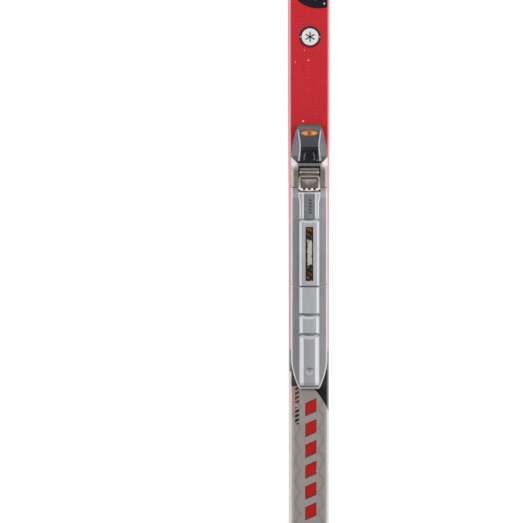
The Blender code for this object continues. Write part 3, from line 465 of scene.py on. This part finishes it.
def pad_material():
    """Glossy black dish with fine scratches and two light hooks painted as reflections of its
    curved walls.
    """
    g = Graph("gloss_black")
    scratch = g.rise(g.noise(1500.0, 2.0, (1.0, 0.12, 1.0)), 0.60, 0.68)
    pits = g.specks(700.0, 0.16, 1.3)
    colour = g.blend(g.multiply(scratch, 0.25), (0.008, 0.008, 0.010), (0.10, 0.10, 0.11))
    across = g.size(g.x)
    # Painted reflections: a hook along each curved wall and a patch at each foot
    hook = g.within(g.subtract(across, g.rise(g.y, 27.5, 17.5, 4.3, 6.2)), -0.5, 0.5, 0.5)
    worn_and_sheen = g.multiply(hook, g.within(g.y, 17.4, 25.0, 1.5))
    foot = g.multiply(g.within(across, 4.4, 6.4, 0.5), g.within(g.y, 17.0, 18.2, 0.5))
    worn_and_sheen = g.multiply(g.greatest(worn_and_sheen, foot), g.rise(g.noise(500.0, 3.0), 0.30, 0.60))
    colour = g.paint(colour, worn_and_sheen, 0.75, (0.36, 0.35, 0.36))
    rough = g.add(0.14, g.multiply(scratch, 0.25))
    return g.finish(colour, rough, g.bump(pits, -0.04, g.bump(scratch, 0.01)), Coat_Weight=0.3)


def badge_material():
    """Orange enamel in a brown rim: two plain leaves that meet at a dark knob."""
    g = Graph("badge_enamel")
    along = g.size(g.subtract(g.y, LEVER_BADGE_Y))
    across = g.size(g.x)
    leaf_shape = g.multiply(g.within(across, 0.0, 9.2, 0.4), g.rise(across, 1.0, 5.0, 1.3, 2.2))
    leaf_end = g.rise(across, 5.0, 9.6, 0.0, 1.9)
    leaf = g.rise(g.subtract(along, g.subtract(leaf_shape, leaf_end)), -0.25, 0.25, 1.0, 0.0)
    colour = g.blend(leaf, (0.40, 0.13, 0.030), (0.80, 0.27, 0.035))
    vein = g.multiply(g.rise(along, 0.1, 0.4, 1.0, 0.0), g.within(across, 3.0, 7.5, 0.4))
    colour = g.paint(colour, vein, 0.6, (0.45, 0.20, 0.09))
    knob = g.disc(0.0, LEVER_BADGE_Y, 2.0, 0.5)
    colour = g.paint(colour, knob, 0.9, (0.060, 0.040, 0.035))
    glint = g.disc(0.5, LEVER_BADGE_Y + 0.7, 0.5, 0.3)
    colour = g.paint(colour, glint, 0.5, (0.45, 0.40, 0.36))
    worn_and_sheen = g.rise(g.noise(800.0, 4.0), 0.55, 0.75, 0.0, 0.30)
    colour = g.blend(worn_and_sheen, colour, (0.50, 0.24, 0.09))
    return g.finish(colour, g.add(0.25, worn_and_sheen), g.bump(g.noise(1800.0), 0.015), Coat_Weight=0.3)


def steel_material():
    """Zinc-plated steel with faint crystals; the boot bar's seat carries a dried pale film with a
    band of painted shade across it.
    """
    g = Graph("zinc_steel")
    cells = g.noise(900.0, 4.0)
    colour = g.blend(g.rise(cells, 0.35, 0.70), (0.42, 0.42, 0.41), (0.66, 0.65, 0.62))
    rust = g.rise(g.noise(260.0, 5.0), 0.66, 0.80, 0.0, 0.5)
    colour = g.blend(rust, colour, (0.20, 0.12, 0.07))
    dried = g.multiply(g.within(g.y, -3.2, 2.3), g.rise(g.height, 8.6, 9.0, 0.4, 0.95))
    # Painted shade: a dark band across the film
    shade = g.within(g.y, -0.3, 2.3, 0.3)
    patches = g.rise(g.noise(700.0, 4.0), 0.35, 0.65)
    film = g.blend(patches, (0.27, 0.24, 0.225), (0.40, 0.36, 0.335))
    film = g.paint(film, shade, 0.85, (0.05, 0.04, 0.037))
    colour = g.blend(dried, colour, film)
    dull = g.greatest(rust, dried)
    rough = g.add(g.rise(cells, 0.3, 0.7, 0.26, 0.42), g.multiply(dull, 0.35))
    return g.finish(colour, rough, g.bump(cells, 0.02), Metallic=g.invert(dull))


def rubber_material():
    g = Graph("flexor_rubber")
    grain = g.noise(2200.0, 3.0)
    bloom = g.rise(g.noise(180.0, 5.0), 0.40, 0.72)
    colour = g.blend(bloom, (0.255, 0.218, 0.200), (0.390, 0.345, 0.318))
    # Painted shade in the block's hollow rear part
    bow = g.multiply(g.multiply(g.x, g.x), 0.055)
    hollow = g.rise(g.subtract(g.y, bow), -8.3, -12.8)
    colour = g.paint(colour, hollow, 0.80, (0.100, 0.080, 0.070))
    # Painted shade in the gap in front of the block
    front = g.rise(g.y, -5.5, -4.9)
    colour = g.paint(colour, front, 0.95, (0.030, 0.022, 0.020))
    # Painted shade at the notches under the frame's rear wall
    teeth = g.rise(g.y, -14.2, -15.0)
    colour = g.paint(colour, teeth, 0.8, (0.050, 0.044, 0.040))
    # Painted highlight along the sharp edges
    colour = g.paint(colour, g.edges(0.0006), 0.35, (0.46, 0.42, 0.38))
    return g.finish(colour, g.rise(bloom, 0.0, 1.0, 0.52, 0.68), g.bump(grain, 0.05))


def aged_material():
    """Clear-white plastic gone cream and brown in blotches, with painted shade in the grooves
    beside the flexor.
    """
    g = Graph("yellowed_plastic")
    stain = g.rise(g.noise(240.0, 5.0), 0.38, 0.70)
    colour = g.blend(stain, (0.66, 0.60, 0.54), (0.38, 0.30, 0.22))
    pale = g.rise(g.y, -14.6, -13.6, 1.0, 0.0)
    colour = g.paint(colour, pale, 0.85, (0.80, 0.77, 0.74))
    # Painted shade in the grooves beside the flexor
    groove = g.multiply(g.within(g.size(g.x), 10.7, 11.5, 0.2), g.within(g.y, -13.2, -4.0, 0.5))
    colour = g.paint(colour, groove, 0.6, (0.20, 0.15, 0.12))
    normal = g.bump(g.noise(900.0, 3.0), 0.04)
    return g.finish(colour, 0.35, normal)


def label_material():
    """Black sticker with gold flecks, torn away to a grey-beige backing in its middle part."""
    g = Graph("worn_sticker")
    gold = g.rise(g.noise(420.0, 3.0, (1.0, 0.8, 1.0)), 0.57, 0.62)
    streak = g.rise(g.wave(g.add(g.y, g.multiply(g.x, 0.6)), 6.3), 0.70, 0.85)
    marks = g.multiply(g.greatest(gold, streak), g.rise(g.noise(620.0, 3.0), 0.46, 0.54))
    marks = g.multiply(marks, g.within(g.x, -3.1, 3.1, 0.3))
    print_colour = g.blend(marks, (0.012, 0.009, 0.007), (0.42, 0.17, 0.028))
    ragged = g.multiply(g.subtract(g.noise(420.0, 4.0), 0.5), 13.0)
    worn_and_sheen = g.within(g.add(g.y, ragged), -103.0, -76.0, 0.5)
    thin = g.add(2.6, g.multiply(g.subtract(g.noise(500.0, 3.0), 0.5), 5.0))
    beyond = g.subtract(g.size(g.subtract(g.x, 0.5)), thin)
    worn_and_sheen = g.multiply(worn_and_sheen, g.rise(beyond, -0.1, 0.2, 1.0, 0.0))
    fibres = g.rise(g.noise(1300.0, 3.0), 0.4, 0.7)
    backing = g.blend(fibres, (0.40, 0.38, 0.33), (0.56, 0.54, 0.48))
    colour = g.blend(worn_and_sheen, print_colour, backing)
    height = g.multiply(worn_and_sheen, -1.0)
    return g.finish(colour, g.rise(worn_and_sheen, 0.0, 1.0, 0.28, 0.60), g.bump(height, 0.06))


def inlay_material():
    """Grey strip with a row of plain slanted marks."""
    g = Graph("grey_inlay")
    grain = g.noise(2400.0, 2.0)
    flow = g.rise(g.noise(200.0, 4.0), 0.4, 0.7)
    colour = g.blend(flow, (0.165, 0.170, 0.182), (0.200, 0.205, 0.215))
    lean = g.add(g.y, g.multiply(g.x, 0.4))
    mark = g.multiply(g.rise(g.wave(lean, 3.6), 0.05, 0.25), g.within(g.x, -0.6, 2.6))
    mark = g.multiply(mark, g.within(g.y, -45.5, -26.5, 0.2))
    worn_and_sheen = g.rise(g.noise(900.0, 3.0), 0.35, 0.5)
    colour = g.blend(g.multiply(mark, worn_and_sheen), colour, (0.012, 0.012, 0.014))
    return g.finish(colour, 0.42, g.bump(grain, 0.015))


def plate_material():
    """Silver-grey moulded plates: matt wings and a polished ridge, with painted light on the
    ridge's slopes, on the edges and on the right half.
    """
    g = Graph("silver_grey_plastic")
    colour = plate_rim(g, ridge_lines(g, plate_colour(g)))
    scuffs = g.rise(g.noise(700.0, 3.0, (1.0, 0.16, 1.0)), 0.60, 0.72)
    colour = g.paint(colour, scuffs, 0.14, (0.55, 0.56, 0.59))
    dust = g.specks(330.0, 0.11, 3.1)
    colour = g.paint(colour, dust, 0.35, (0.07, 0.07, 0.075))
    # Painted highlight along the sharp edges
    colour = g.paint(colour, g.edges(0.0009), 0.9, (0.80, 0.81, 0.85))
    # Painted light: the right half is lighter
    painted_light_right_side = g.rise(g.x, -6.0, 8.0)
    colour = g.paint(colour, painted_light_right_side, 0.2, (0.62, 0.62, 0.65))
    grain = g.noise(2600.0, 2.0)
    rough = g.add(g.rise(grain, 0.3, 0.7, 0.34, 0.44), g.multiply(scuffs, 0.08))
    return g.finish(colour, rough, g.bump(scuffs, 0.012, g.bump(grain, 0.02)))


def plate_colour(g):
    """Grey by part: wings low down, the ridge's top, and its slopes with painted light on them."""
    flow = g.rise(g.noise(80.0, 5.0, (1.0, 0.4, 1.0)), 0.35, 0.70)
    wings = g.blend(flow, (0.215, 0.217, 0.235), (0.255, 0.255, 0.276))
    near_toe = g.rise(g.y, -58.0, -42.0)
    wings = g.paint(wings, near_toe, 0.5, (0.320, 0.320, 0.340))
    front_pad = g.multiply(g.within(g.y, -25.6, -13.0, 0.2), beside_ridge(g))
    wings = g.blend(front_pad, wings, (0.385, 0.385, 0.405))
    top = g.blend(flow, (0.350, 0.360, 0.385), (0.405, 0.415, 0.440))
    last_block = g.rise(g.y, -180.0, -186.0)
    top = g.paint(top, last_block, 0.8, (0.290, 0.293, 0.312))
    raised = g.rise(g.height, 3.5, 4.3)
    colour = g.blend(raised, wings, top)
    # Painted light on the sideways slopes: a highlight on the front ridge, shade further back
    slope = g.multiply(g.rise(g.upright(), 0.80, 0.62), raised)
    front_ridge = g.rise(g.y, -53.0, -50.5)
    slope_colour = g.blend(front_ridge, (0.62, 0.63, 0.665), (0.290, 0.295, 0.320))
    return g.blend(slope, colour, slope_colour)


def beside_ridge(g):
    return g.rise(g.size(g.x), 12.8, 13.4)


def ridge_lines(g, colour):
    """Painted highlights on the front ridge's edges, the gaps across the ridge and painted shade on
    its rear end.
    """
    across = g.size(g.x)
    line_x = g.add(10.5, g.rise(g.y, -34.0, -21.0, 0.0, 1.9))
    outer_line = g.within(g.subtract(across, line_x), -0.9, 0.75, 0.3)
    inner_line = g.within(across, 6.3, 8.0, 0.3)
    # Painted highlight along the front ridge's edge lines
    lines = g.multiply(g.greatest(outer_line, inner_line), g.within(g.y, -51.0, -20.3, 0.3))
    colour = g.paint(colour, lines, 0.85, (0.70, 0.71, 0.75))
    # Painted highlight on the front ridge's nose
    nose = g.multiply(g.within(g.y, -21.8, -20.4, 0.3), g.rise(across, 13.0, 12.0))
    colour = g.paint(colour, nose, 0.85, (0.72, 0.73, 0.76))
    for start, length in RIDGE_GAPS:
        colour = curved_gap(g, colour, start, length)
    # Painted shade on the ridge's rear end
    rear = g.rise(g.y, -238.0, -239.5)
    return g.paint(colour, rear, 0.5, (0.150, 0.150, 0.160))


def plate_rim(g, colour):
    """A painted highlight on the rounded rim of both plates, and a painted bright line on the front
    edge beside the flexor.
    """
    # Painted highlight where the rim faces sideways
    rim = g.multiply(g.rise(g.upright(), 0.92, 0.80), g.rise(g.height, 3.3, 3.0))
    joint = g.multiply(g.within(g.y, -131.0, -122.0), g.rise(g.size(g.x), 19.3, 18.5))
    rim = g.multiply(rim, g.subtract(0.9, g.multiply(joint, 0.6)))
    colour = g.blend(rim, colour, (0.68, 0.62, 0.65))
    # Painted highlight along the front edge
    front_edge = g.multiply(g.within(g.y, -16.0, -14.6, 0.3), beside_ridge(g))
    return g.paint(colour, front_edge, 0.9, (0.78, 0.78, 0.80))


def curved_gap(g, colour, start, length):
    """Painted shade in a crescent across the ridge from this place rearward, and a painted
    highlight on the lip behind it.
    """
    foot = g.add(g.multiply(g.multiply(g.x, g.x), 0.0185), start - length)
    on_ridge = g.rise(g.size(g.x), 9.9, 10.5, 1.0, 0.0)
    behind = g.subtract(g.y, foot)
    dark = g.multiply(g.rise(behind, -0.3, 0.3), g.rise(g.y, start + 0.3, start - 0.3))
    colour = g.blend(g.multiply(g.multiply(dark, on_ridge), 0.8), colour, (0.085, 0.085, 0.090))
    lip = g.multiply(g.within(behind, -2.6, -0.3, 0.3), on_ridge)
    return g.paint(colour, lip, 0.75, (0.66, 0.67, 0.70))


def plug_material():
    """The heel screw's plug: painted shade on its rim towards the tip and in its slit, a painted
    highlight on its rear edge.
    """
    g = Graph("plug_plastic")
    flow = g.rise(g.noise(300.0, 4.0), 0.35, 0.70)
    colour = g.blend(flow, (0.36, 0.36, 0.38), (0.46, 0.46, 0.48))
    # Painted highlight on the rim's rear edge, painted shade on its front
    rim = g.rise(g.distance(0.0, HEEL_PLUG_Y), 2.9, 3.5)
    ahead = g.rise(g.y, HEEL_PLUG_Y - 1.1, HEEL_PLUG_Y + 2.4)
    rim_colour = g.blend(ahead, (0.66, 0.67, 0.70), (0.10, 0.10, 0.11))
    colour = g.paint(colour, rim, 0.9, rim_colour)
    # Painted shade in the slit
    slit = g.multiply(g.within(g.x, -0.5, 0.5), g.within(g.y, -226.0, -222.0))
    colour = g.paint(colour, slit, 0.9, (0.05, 0.05, 0.055))
    return g.finish(colour, 0.42, g.bump(g.noise(2400.0, 2.0), 0.02))


def jaw_material():
    """Taupe jaw: painted shade under the bridge, in a groove and in a ragged slit at its rear edge,
    lighter ribs and painted edge highlights.
    """
    g = Graph("jaw_plastic")
    flow = g.rise(g.noise(150.0, 5.0), 0.35, 0.72)
    colour = g.blend(flow, (0.170, 0.152, 0.143), (0.245, 0.220, 0.208))
    ribs = g.greatest(g.within(g.y, 5.9, 6.9, 0.3), g.within(g.y, 2.2, 3.3, 0.4))
    colour = g.paint(colour, ribs, 0.7, (0.46, 0.42, 0.40))
    ends = g.multiply(g.within(g.y, 1.6, 4.0, 0.4), g.rise(g.size(g.x), 8.6, 10.2))
    colour = g.paint(colour, ends, 0.6, (0.66, 0.62, 0.60))
    # Painted shade in the groove
    groove = g.within(g.y, 4.4, 5.8, 0.25)
    colour = g.paint(colour, groove, 0.75, (0.085, 0.072, 0.066))
    # Painted shade in the ragged slit at the rear edge
    ragged = g.multiply(g.subtract(g.noise(330.0, 3.0), 0.5), 3.4)
    slit = g.rise(g.add(g.add(g.y, ragged), g.multiply(g.x, 0.06)), 1.2, 1.7, 1.0, 0.0)
    slit = g.multiply(slit, g.rise(g.size(g.x), 9.2, 9.8, 1.0, 0.0))
    colour = g.paint(colour, slit, 0.95, (0.012, 0.009, 0.008))
    # Painted shade under the bridge
    under = g.rise(g.y, 7.1, 7.5)
    colour = g.paint(colour, under, 0.95, (0.008, 0.007, 0.007))
    # Painted highlight along the sharp edges
    colour = g.paint(colour, g.edges(0.0004), 0.35, (0.50, 0.46, 0.44))
    grain = g.noise(2200.0, 2.0)
    return g.finish(colour, g.rise(grain, 0.3, 0.7, 0.38, 0.52), g.bump(grain, 0.03))


def housing_material():
    """Taupe housing whose front shoulders are almost white, with painted highlights on its edges.
    """
    g = Graph("housing_plastic")
    flow = g.rise(g.noise(110.0, 5.0), 0.35, 0.72)
    colour = g.blend(flow, (0.165, 0.140, 0.124), (0.225, 0.196, 0.176))
    across = g.size(g.x)
    inner = g.subtract(across, g.multiply(g.subtract(g.y, 14.0), 0.25))
    shoulder = g.multiply(g.rise(g.y, 4.0, 13.0), g.rise(inner, 12.0, 15.8))
    colour = g.paint(colour, shoulder, 0.95, (0.66, 0.64, 0.66))
    slope = g.multiply(g.rise(across, 17.6, 19.0), g.rise(g.y, 4.0, 10.0, 1.0, 0.0))
    colour = g.paint(colour, slope, 0.7, (0.52, 0.48, 0.46))
    bridge = g.multiply(g.within(g.y, 9.6, 14.5, 0.3), g.rise(across, 11.5, 13.5, 1.0, 0.0))
    middle = g.within(g.y, 10.7, 12.9, 0.6)
    bridge_colour = g.blend(middle, (0.100, 0.098, 0.098), (0.235, 0.230, 0.230))
    colour = g.blend(bridge, colour, bridge_colour)
    scuffs = g.rise(g.noise(800.0, 3.0, (1.0, 0.2, 1.0)), 0.60, 0.72)
    colour = g.paint(colour, scuffs, 0.22, (0.42, 0.40, 0.39))
    # Painted highlight along the sharp edges
    colour = g.paint(colour, g.edges(0.0006), 0.6, (0.52, 0.49, 0.47))
    grain = g.noise(2400.0, 2.0)
    return g.finish(colour, g.rise(grain, 0.3, 0.7, 0.36, 0.48), g.bump(grain, 0.03))


def lever_material():
    """Dark grey lever: a smooth centre, paler flanks, painted highlights on the ridge lines and
    edges, painted shade on the front lip.
    """
    g = Graph("lever_plastic")
    flow = g.rise(g.noise(120.0, 4.0), 0.35, 0.70)
    panel = g.blend(flow, (0.054, 0.052, 0.062), (0.070, 0.068, 0.080))
    flank = g.blend(flow, (0.052, 0.047, 0.053), (0.072, 0.065, 0.074))
    front = g.rise(g.y, 33.0, 50.0, 10.9, 12.75)
    rear = g.rise(g.y, 33.0, 17.0, 0.0, 1.2)
    ridge = g.subtract(g.add(front, rear), g.rise(g.y, 52.0, 59.0, 0.0, 2.6))
    beyond = g.subtract(g.size(g.x), ridge)
    colour = g.blend(g.rise(beyond, 0.0, 0.5), panel, flank)
    # Painted shade on the front lip
    lip = g.rise(g.y, 51.0, 53.5)
    colour = g.paint(colour, lip, 0.8, (0.048, 0.043, 0.048))
    scuffs = g.rise(g.noise(650.0, 3.0, (1.0, 0.3, 1.0)), 0.62, 0.74)
    colour = g.paint(colour, scuffs, 0.15, (0.22, 0.21, 0.22))
    # Painted highlight along the ridge lines
    line = g.multiply(g.within(beyond, -0.7, 0.45, 0.30), g.rise(g.y, 53.5, 47.0))
    colour = g.paint(colour, line, 0.92, (0.60, 0.58, 0.66))
    # Painted highlight along the sharp edges
    colour = g.paint(colour, g.edges(0.0005), 0.5, (0.50, 0.50, 0.55))
    grain = g.noise(2600.0, 2.0)
    rough = g.add(g.rise(grain, 0.3, 0.7, 0.30, 0.40), g.multiply(scuffs, 0.1))
    return g.finish(colour, rough, g.bump(grain, 0.018))


def build_materials():
    return {
        "base": running_base_material(),
        "edge": edge_material(),
        "laminate": laminate_material(),
        "core": core_material(),
        "insert": insert_material(),
        "cap": cap_material(),
        "protector": end_material(),
        "housing": housing_material(),
        "lever": lever_material(),
        "badge": badge_material(),
        "pad": pad_material(),
        "steel": steel_material(),
        "jaw": jaw_material(),
        "rubber": rubber_material(),
        "frame": aged_material(),
        "plate": plate_material(),
        "inlay": inlay_material(),
        "label": label_material(),
        "plug": plug_material(),
    }


# ---------------------------------------------------------------- CAD pieces kept as they are

# Rounding of each visible piece's edges, in metres
ROUNDING = {
    "release_lever": 0.00030,
    "pole_tip_pad": 0.00015,
    "lever_badge": 0.00012,
    "toe_housing": 0.00030,
    "jaw": 0.00022,
    "bar_seat": 0.00018,
    "flexor": 0.00045,
    "flexor_frame": 0.00025,
    "front_ridge_plate": 0.00030,
    "heel_plate": 0.00030,
    "ridge_inlay": 0.00010,
    "ridge_label": 0.00008,
    "heel_screw_plug": 0.00020,
    "tail_protector": 0.00040,
}
SMOOTH_NODES = ("top_cap", "base_sole", "lever_pin", "spring_guide_pin", "tip_spacer")

# Edges that bend less than this are shaded smooth, and edges that bend more are rounded, in degrees
SMOOTH_LIMIT = 20
ROUNDING_LIMIT = 24

WELD_DISTANCE = 0.000002
WIRE_RADIUS = 0.0003


def dress_cad_nodes(materials):
    slots = {row["node"]: row["material_slot"] for row in frame["record"]["subparts"]}
    smooth_group = smooth_by_angle(SMOOTH_LIMIT)
    for name, piece in frame["nodes"].items():
        piece.data.materials.clear()
        piece.data.materials.append(materials[slots[name]])
        # Imported corner normals would hide the rounding
        custom = piece.data.attributes.get("custom_normal")
        if custom is not None:
            piece.data.attributes.remove(custom)
        if name in ROUNDING:
            round_edges(piece, ROUNDING[name])
        elif name in SMOOTH_NODES:
            smoothing = piece.modifiers.new("smoothing", "NODES")
            smoothing.node_group = smooth_group


def smooth_by_angle(limit):
    """A node group that joins split corners and shades every edge below the limit smooth."""
    group = bpy.data.node_groups.new("smooth_by_angle", "GeometryNodeTree")
    for way in ("INPUT", "OUTPUT"):
        group.interface.new_socket("Geometry", in_out=way, socket_type="NodeSocketGeometry")
    make, link = group.nodes.new, group.links.new
    merge = make("GeometryNodeMergeByDistance")
    merge.inputs["Distance"].default_value = WELD_DISTANCE
    faces = make("GeometryNodeSetShadeSmooth")
    edges = make("GeometryNodeSetShadeSmooth")
    edges.domain = "EDGE"
    edges.inputs["Shade Smooth"].default_value = False
    sharp = make("FunctionNodeCompare")
    sharp.inputs[1].default_value = math.radians(limit)
    link(make("NodeGroupInput").outputs[0], merge.inputs["Geometry"])
    link(merge.outputs[0], faces.inputs["Geometry"])
    link(faces.outputs[0], edges.inputs["Geometry"])
    link(make("GeometryNodeInputMeshEdgeAngle").outputs["Unsigned Angle"], sharp.inputs[0])
    link(sharp.outputs[0], edges.inputs["Selection"])
    link(edges.outputs[0], make("NodeGroupOutput").inputs[0])
    return group


def round_edges(piece, width):
    """Join split corners, round the sharp edges and keep the large faces flat."""
    piece.data.shade_smooth()
    weld = piece.modifiers.new("weld", "WELD")
    weld.merge_threshold = WELD_DISTANCE
    bevel = piece.modifiers.new("rounding", "BEVEL")
    bevel.width = width
    bevel.segments = 2
    bevel.limit_method = "ANGLE"
    bevel.angle_limit = math.radians(ROUNDING_LIMIT)
    bevel.use_clamp_overlap = True
    shading = piece.modifiers.new("even_shading", "WEIGHTED_NORMAL")
    shading.mode = "FACE_AREA_WITH_ANGLE"
    shading.weight = 100


# ---------------------------------------------------------------- finer pieces


def coil_points(turns, per_turn):
    """Centre of each ring of the wire and the direction away from the coil's axis."""
    low, high = SPRING_LOW, SPRING_HIGH
    middle = 0.5 * (low + high)
    radius = 0.5 * (high.z - low.z) - WIRE_RADIUS
    start, end = low.y + WIRE_RADIUS, high.y - WIRE_RADIUS
    for i in range(turns * per_turn + 1):
        share = i / (turns * per_turn)
        angle = 2 * math.pi * turns * share
        out = Vector((math.cos(angle), 0.0, math.sin(angle)))
        along = start + (end - start) * share
        yield Vector((middle.x, along, middle.z)) + out * radius, out


def coil_mesh(turns=7, per_turn=36, ring_points=10):
    """A round wire wound along the spring's place, closed at both ends."""
    bm = bmesh.new()
    rings = []
    for centre, out in coil_points(turns, per_turn):
        ring = []
        for j in range(ring_points):
            turn = 2 * math.pi * j / ring_points
            offset = out * math.cos(turn) + Vector((0.0, math.sin(turn), 0.0))
            ring.append(bm.verts.new(centre + offset * WIRE_RADIUS))
        rings.append(ring)
    for low, high in zip(rings, rings[1:]):
        for j in range(ring_points):
            k = (j + 1) % ring_points
            bm.faces.new((low[j], low[k], high[k], high[j]))
    bm.faces.new(reversed(rings[0]))
    bm.faces.new(rings[-1])
    bmesh.ops.recalc_face_normals(bm, faces=bm.faces)
    mesh = bpy.data.meshes.new("jaw_coil_spring")
    bm.to_mesh(mesh)
    bm.free()
    mesh.shade_smooth()
    return mesh


def coil_spring(materials):
    """A wound wire in place of the CAD solid."""
    mesh = coil_mesh()
    mesh.materials.append(materials["steel"])
    piece = bpy.data.objects.new("jaw_coil_spring", mesh)
    bpy.context.collection.objects.link(piece)
    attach(piece, "ski")
    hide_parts("jaw_spring")
    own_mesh(piece)


# ---------------------------------------------------------------- stage


def floor():
    bm = bmesh.new()
    bmesh.ops.create_grid(bm, x_segments=1, y_segments=1, size=6.0)
    mesh = bpy.data.meshes.new("floor")
    bm.to_mesh(mesh)
    bm.free()
    piece = bpy.data.objects.new("floor", mesh)
    bpy.context.collection.objects.link(piece)
    g = Graph("pale_floor")
    tone = g.rise(g.noise(3.0, 3.0), 0.3, 0.7)
    colour = g.blend(tone, (0.90, 0.90, 0.90), (0.93, 0.93, 0.93))
    glow = (1.0, 1.0, 1.0, 1.0)
    mesh.materials.append(g.finish(colour, 0.9, Emission_Color=glow, Emission_Strength=0.50))


def area_light(name, place, target, size, watts):
    data = bpy.data.lights.new(name, "AREA")
    data.shape = "RECTANGLE"
    data.size, data.size_y = size
    data.energy = watts
    lamp = bpy.data.objects.new(name, data)
    lamp.location = place
    aim = Vector(target) - Vector(place)
    lamp.rotation_euler = aim.to_track_quat("-Z", "Y").to_euler()
    bpy.context.collection.objects.link(lamp)


def light_the_scene():
    world = bpy.data.worlds.new("studio")
    world.use_nodes = True
    nodes, links = world.node_tree.nodes, world.node_tree.links
    background = nodes["Background"]
    up = nodes.new("ShaderNodeSeparateXYZ")
    links.new(nodes.new("ShaderNodeTexCoord").outputs["Generated"], up.inputs[0])
    dim = nodes.new("ShaderNodeMapRange")
    links.new(up.outputs[2], dim.inputs[0])
    for socket, value in zip(dim.inputs[1:5], (FADE_START, FADE_END, HORIZON_LIGHT, ZENITH_LIGHT)):
        socket.default_value = value
    links.new(dim.outputs[0], background.inputs["Strength"])
    background.inputs["Color"].default_value = (1.0, 1.0, 1.0, 1.0)
    bpy.context.scene.world = world
    centre = (0.0, -0.10, 0.03)
    area_light("right_softbox", (2.2, 0.2, 1.0), centre, (1.0, 3.4), 46.0)
    area_light("left_softbox", (-2.2, 0.2, 1.0), centre, (1.0, 3.4), 36.0)
    area_light("front_softbox", (0.0, 2.4, 1.3), centre, (2.4, 0.8), 20.0)


def camera():
    data = bpy.data.cameras.new("camera")
    data.sensor_width = SENSOR
    data.lens = SENSOR * CAMERA_DISTANCE / VIEW_WIDTH
    data.clip_end = 50.0
    eye = bpy.data.objects.new("camera", data)
    eye.location = (CAMERA_X, CAMERA_Y, DECK_Z + CAMERA_DISTANCE)
    bpy.context.collection.objects.link(eye)
    bpy.context.scene.camera = eye


materials = build_materials()
dress_cad_nodes(materials)
coil_spring(materials)
floor()
light_the_scene()
camera()
bpy.context.scene.view_settings.view_transform = "Standard"
